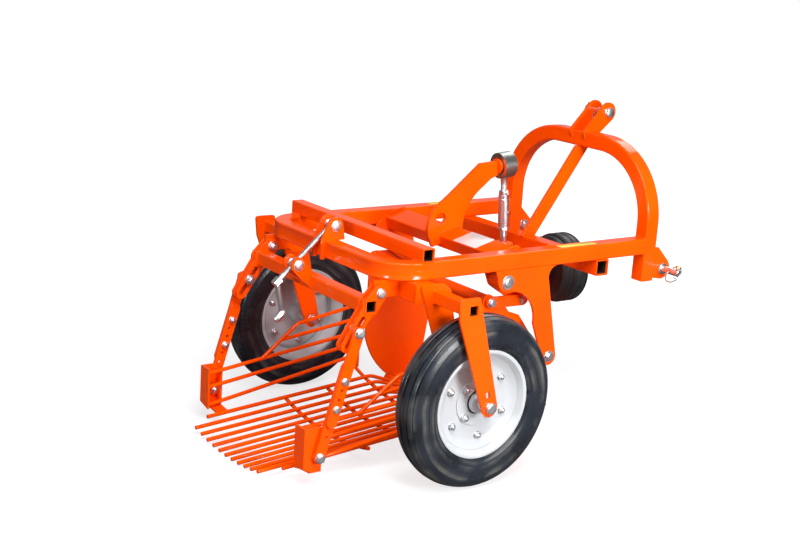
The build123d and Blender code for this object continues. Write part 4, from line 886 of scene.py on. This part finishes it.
# %% Weld beads
SEAMS = {
    # body: rows of (x, y, z) to (x, y, z) and the bead's radius
    "frame": [
        ((573.0, -303.0, 624.6), (573.0, -347.0, 624.6), 3.4),
        ((573.0, -349.6, 622.0), (573.0, -349.6, 578.0), 3.4),
        ((573.0, -300.4, 622.0), (573.0, -300.4, 578.0), 3.4),
        ((573.0, -303.0, 575.4), (573.0, -347.0, 575.4), 3.4),
        ((-293.5, -348.0, 625.4), (-293.5, -302.0, 625.4), 3.2),
        ((-253.5, -348.0, 625.4), (-253.5, -302.0, 625.4), 3.2),
        ((202.0, -300.4, 622.0), (248.0, -300.4, 622.0), 3.2),
        ((202.0, -300.4, 578.0), (248.0, -300.4, 578.0), 3.2),
        ((372.0, -346.0, 574.8), (372.0, -304.0, 574.8), 3.2),
        ((418.0, -346.0, 574.8), (418.0, -304.0, 574.8), 3.2),
        ((-20.0, -346.0, 574.6), (190.0, -346.0, 574.6), 2.6),
        ((624.0, -334.0, 590.0), (624.0, -334.0, 500.0), 3.0),
        ((624.0, -342.0, 588.0), (624.0, -342.0, 496.0), 3.0),
        ((575.0, -35.5, 913.4), (622.0, -35.5, 913.4), 3.0),
        ((623.8, -35.0, 912.0), (623.8, -35.0, 866.0), 3.0),
        ((-350.0, -300.5, 574.6), (-268.0, -300.5, 574.6), 3.0),
        ((-328.0, -301.0, 546.0), (-270.0, -301.0, 546.0), 2.6),
        ((-410.5, -26.4, 600.0), (-410.5, -26.4, 580.0), 2.8),
        ((-404.0, -26.4, 625.4), (-356.0, -26.4, 625.4), 2.8),
        ((-279.0, -389.5, 519.6), (-243.0, -389.5, 519.6), 2.8),
        ((-279.0, -389.5, 556.4), (-243.0, -389.5, 556.4), 2.8),
        ((-279.0, -540.6, 556.4), (-243.0, -540.6, 556.4), 2.8),
        ((-243.0, -540.6, 556.0), (-243.0, -540.6, 521.0), 2.8),
        ((335.0, -46.0, 524.6), (455.0, -46.0, 524.6), 2.4),
    ],
    "yoke_frame": [
        ((-451.0, -281.0, 486.0), (-451.0, -281.0, 524.0), 2.8),
        ((-411.0, -281.0, 488.0), (-411.0, -281.0, 524.0), 2.8),
        ((-450.0, -281.0, 526.2), (-413.0, -281.0, 526.2), 2.8),
        ((-451.4, -18.0, 490.0), (-451.4, -18.0, 522.0), 2.6),
        ((-451.4, -26.4, 490.0), (-451.4, -26.4, 522.0), 2.6),
        ((-449.0, -26.4, 526.4), (-424.0, -26.4, 526.4), 2.6),
    ],
    "rocker": [
        ((38.0, -286.4, 613.0), (101.0, -286.4, 630.0), 2.8),
        ((31.0, -6.6, 600.0), (28.0, -6.6, 612.0), 2.6),
        ((36.0, -6.6, 613.6), (104.0, -6.6, 632.2), 2.8),
    ],
    "digging_body": [
        ((202.0, -285.4, 40.5), (98.0, -285.4, 52.0), 3.0),
        ((9.0, -285.6, 486.0), (-12.0, -285.6, 482.0), 2.6),
    ],
}


def seams(body, rows):
    kit = Kit(f"weld_beads_{body}")
    for start, end, radius in rows:
        for sign in (1, -1):
            kit.bead(mm(start[0], start[1] * sign, start[2]), mm(end[0], end[1] * sign, end[2]), radius)
    kit.make(body, "orange_paint", 60)


for body, rows in SEAMS.items():
    seams(body, rows)

# %% [markdown]
# ## Painted shade in the tube ends
# Light bouncing inside the open tubes would show their ends orange, though they lie in deep
# shade. Each gets a thin, nearly black lining of painted shade, set a little way in and
# closed deep inside.

# %% Tube linings of painted shade
OPEN_ENDS = {
    # body: rows of (x, y of the end, z, half the inside width)
    "frame": [(-273.5, 350.0, 645.0, 16.8), (395.0, 350.0, 550.0, 20.7), (-261.0, 549.0, 538.0, 13.8)],
    "yoke_frame": [(-431.0, 314.0, 506.0, 15.8)],
}
for body, rows in OPEN_ENDS.items():
    lining = Kit(f"tube_shade_lining_{body}")
    for x, y, z, half in rows:
        for sign in (-1, 1):
            loops = [
                [mm(x + half * a, sign * (y - deep), z + half * b)
                 for a, b in ((1, 1), (-1, 1), (-1, -1), (1, -1))]
                for deep in (7.0, 90.0)
            ]
            lining.skin(loops if sign < 0 else [list(reversed(loop)) for loop in loops], False)
            start = len(lining.points)
            lining.faces.append((start - 4, start - 3, start - 2, start - 1))
    lining.make(body, "painted_shade_lining", 40)

# %% [markdown]
# ## Bare label places
# Thin film, raised by a fraction of a millimetre, with rounded corners. A flat plane
# would flicker against the tube, so each one is a shallow slab.


# %% Labels
def label(name, centre, along, side, long, wide, body, paint):
    """A slab with rounded corners; along and side are its directions."""
    w = along.cross(side).normalized()
    loops = []
    for lift, inset in ((0.05, 0.0), (0.45, 0.0), (0.6, 0.3)):
        loop = []
        for corner, (sx, sy) in enumerate(((1, 1), (-1, 1), (-1, -1), (1, -1))):
            for k in range(5):
                angle = corner * pi / 2 + k * pi / 8
                x = sx * (long / 2 - 4) + (4 - inset) * cos(angle)
                y = sy * (wide / 2 - 4) + (4 - inset) * sin(angle)
                loop.append(centre + (along * x + side * y + w * lift) / 1000)
        loops.append(loop)
    kit = Kit(name)
    kit.skin(loops)
    kit.make(body, paint, 40)


slope = radians(15.4)
beam_along, beam_top = Vector((cos(slope), 0, sin(slope))), Vector((-sin(slope), 0, cos(slope)))
label("label_beam", mm(69.5, -126, 594) + beam_top * 0.020, beam_along, Vector((0, 1, 0)), 77, 110,
      "rocker", "white_label")
for sign in (-1, 1):
    label(f"label_tube_{'left' if sign > 0 else 'right'}", mm(300, sign * 328, 625), Vector((1, 0, 0)),
          Vector((0, 1, 0)), 146, 26, "frame", "yellow_label")

# %% [markdown]
# ## Ribs of the guard
# The moulded guard has raised rings that stiffen it and a bolted flange.

# %% Guard ribs
ribs = Kit("guard_ribs")
for x, radius in ((489.0, 106.4), (497.0, 106.4), (520.0, 113.3), (545.0, 113.3), (568.0, 113.3)):
    ribs.turned(mm(x, 0, 455), (1, 0, 0), [(-2.4, radius - 2), (-1.6, radius + 1.6), (1.6, radius + 1.6),
                                           (2.4, radius - 2)], 96, True)
ribs.make("frame", "black_plastic")

# %% [markdown]
# ## Studio
# The machine stands on a white floor that runs out of sight. White comes from the floor
# itself: rays from the camera see a floor that glows to exactly white, with a third of
# its brightness left to real light, so that shadows still fall on it softly. All other
# rays see an ordinary grey floor, which throws a natural bounce up under the machine.
# Mirror rays see a darker one still, or the gloss would lay a white haze on the orange.

# %% Floor
ground = bpy.data.materials.new("studio_floor")
tree = Tree(ground)
seen = tree.node("ShaderNodeLightPath", output="Is Camera Ray")
shown = tree.node("ShaderNodeBsdfDiffuse", {}, {"Color": (0.34, 0.34, 0.35, 1)})
away = tree.node("ShaderNodeVectorMath", {"operation": "LENGTH"}, {0: tree.place()}, "Value")
brightness = 0.72 + away.clamped(0.9, 2.6) * 0.3
glow = tree.node("ShaderNodeEmission", {}, {"Color": (1, 1, 1, 1), "Strength": brightness})
shown = tree.node("ShaderNodeAddShader", {}, {0: shown, 1: glow})
plain = tree.node("ShaderNodeBsdfDiffuse", {}, {"Color": (0.36, 0.36, 0.36, 1)})
mirrored = tree.node("ShaderNodeLightPath", output="Is Glossy Ray")
dim = tree.node("ShaderNodeBsdfDiffuse", {}, {"Color": (0.11, 0.11, 0.11, 1)})
plain = tree.node("ShaderNodeMixShader", {}, {0: mirrored, 1: plain, 2: dim})
surface = tree.node("ShaderNodeMixShader", {}, {0: seen, 1: plain, 2: shown})
tree.node("ShaderNodeOutputMaterial", {}, {0: surface})

floor_mesh = bpy.data.meshes.new("floor")
size = 60.0
corners = [(-size, -size, 0), (size, -size, 0), (size, size, 0), (-size, size, 0)]
floor_mesh.from_pydata(corners, [], [(0, 1, 2, 3)])
floor_mesh.materials.append(ground)
floor = bpy.data.objects.new("floor", floor_mesh)
bpy.context.scene.collection.objects.link(floor)
floor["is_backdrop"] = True
print("floor", 2 * size, "m across")

# %% [markdown]
# ## Light
# A wide softbox hangs over the machine and a smaller one stands at its right, so that
# side is brighter than the rear, which has a weak one of its own. A fourth keeps the far
# side from going black. The world fills the shadows a little. Metal needs something to
# mirror, so for glossy rays the world has paler and darker walls, not one flat white.

# %% World
world = bpy.data.worlds.new("studio")
bpy.context.scene.world = world
tree = Tree(world)
camera_ray = tree.node("ShaderNodeLightPath", output="Is Camera Ray")
mirror_ray = tree.node("ShaderNodeLightPath", output="Is Glossy Ray")
clear_ray = tree.node("ShaderNodeLightPath", output="Is Transmission Ray")
direction = tree.node("ShaderNodeTexCoord", output=0)
height = tree.node("ShaderNodeSeparateXYZ", {}, {0: direction}, 2)
walls = tree.node("ShaderNodeTexNoise", {}, {"Vector": direction, "Scale": 1.9, "Detail": 0.0})
near_side = (0 - tree.node("ShaderNodeSeparateXYZ", {}, {0: direction}, 1)).clamped(0.0, 0.3)
low_wall = 0.12 + 0.30 * (1 - height.clamped(0.40, 0.65))
wall = low_wall * (1 - near_side * walls.clamped(0.44, 0.56) * 0.75)
fill = 0.12
other_rays = clear_ray + (1 - clear_ray) * fill
level = camera_ray + (1 - camera_ray) * (mirror_ray * wall + (1 - mirror_ray) * other_rays)
shine = tree.node("ShaderNodeBackground", {}, {"Color": (1, 1, 1, 1), "Strength": level})
tree.node("ShaderNodeOutputWorld", {}, {0: shine})


# %% Lamps
def lamp(name, place, aim, power, size):
    data = bpy.data.lights.new(name, "AREA")
    data.energy, data.shape, data.size = power, "DISK", size
    piece = bpy.data.objects.new(name, data)
    bpy.context.scene.collection.objects.link(piece)
    piece.visible_camera = False
    piece.location = place
    piece.rotation_mode = "QUATERNION"
    piece.rotation_quaternion = (Vector(aim) - Vector(place)).to_track_quat("-Z", "Y")


lamp("softbox_top", (-1.1, -1.9, 3.3), (0, 0, 0.4), 150, 2.2)
lamp("softbox_right", (0.4, -3.5, 1.2), (-0.1, 0, 0.5), 122, 1.2)
lamp("softbox_rear", (-2.9, -1.3, 1.1), (-0.2, 0, 0.5), 24, 0.6)
lamp("softbox_left", (2.3, 1.2, 3.1), (0, 0, 0.5), 36, 1.9)
print("four lamps")

# %% Sizes and the last check
low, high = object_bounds()
below, above = cad_low - low, high - cad_high
print("grown by", [round(v * 1000, 1) for v in below], [round(v * 1000, 1) for v in above])
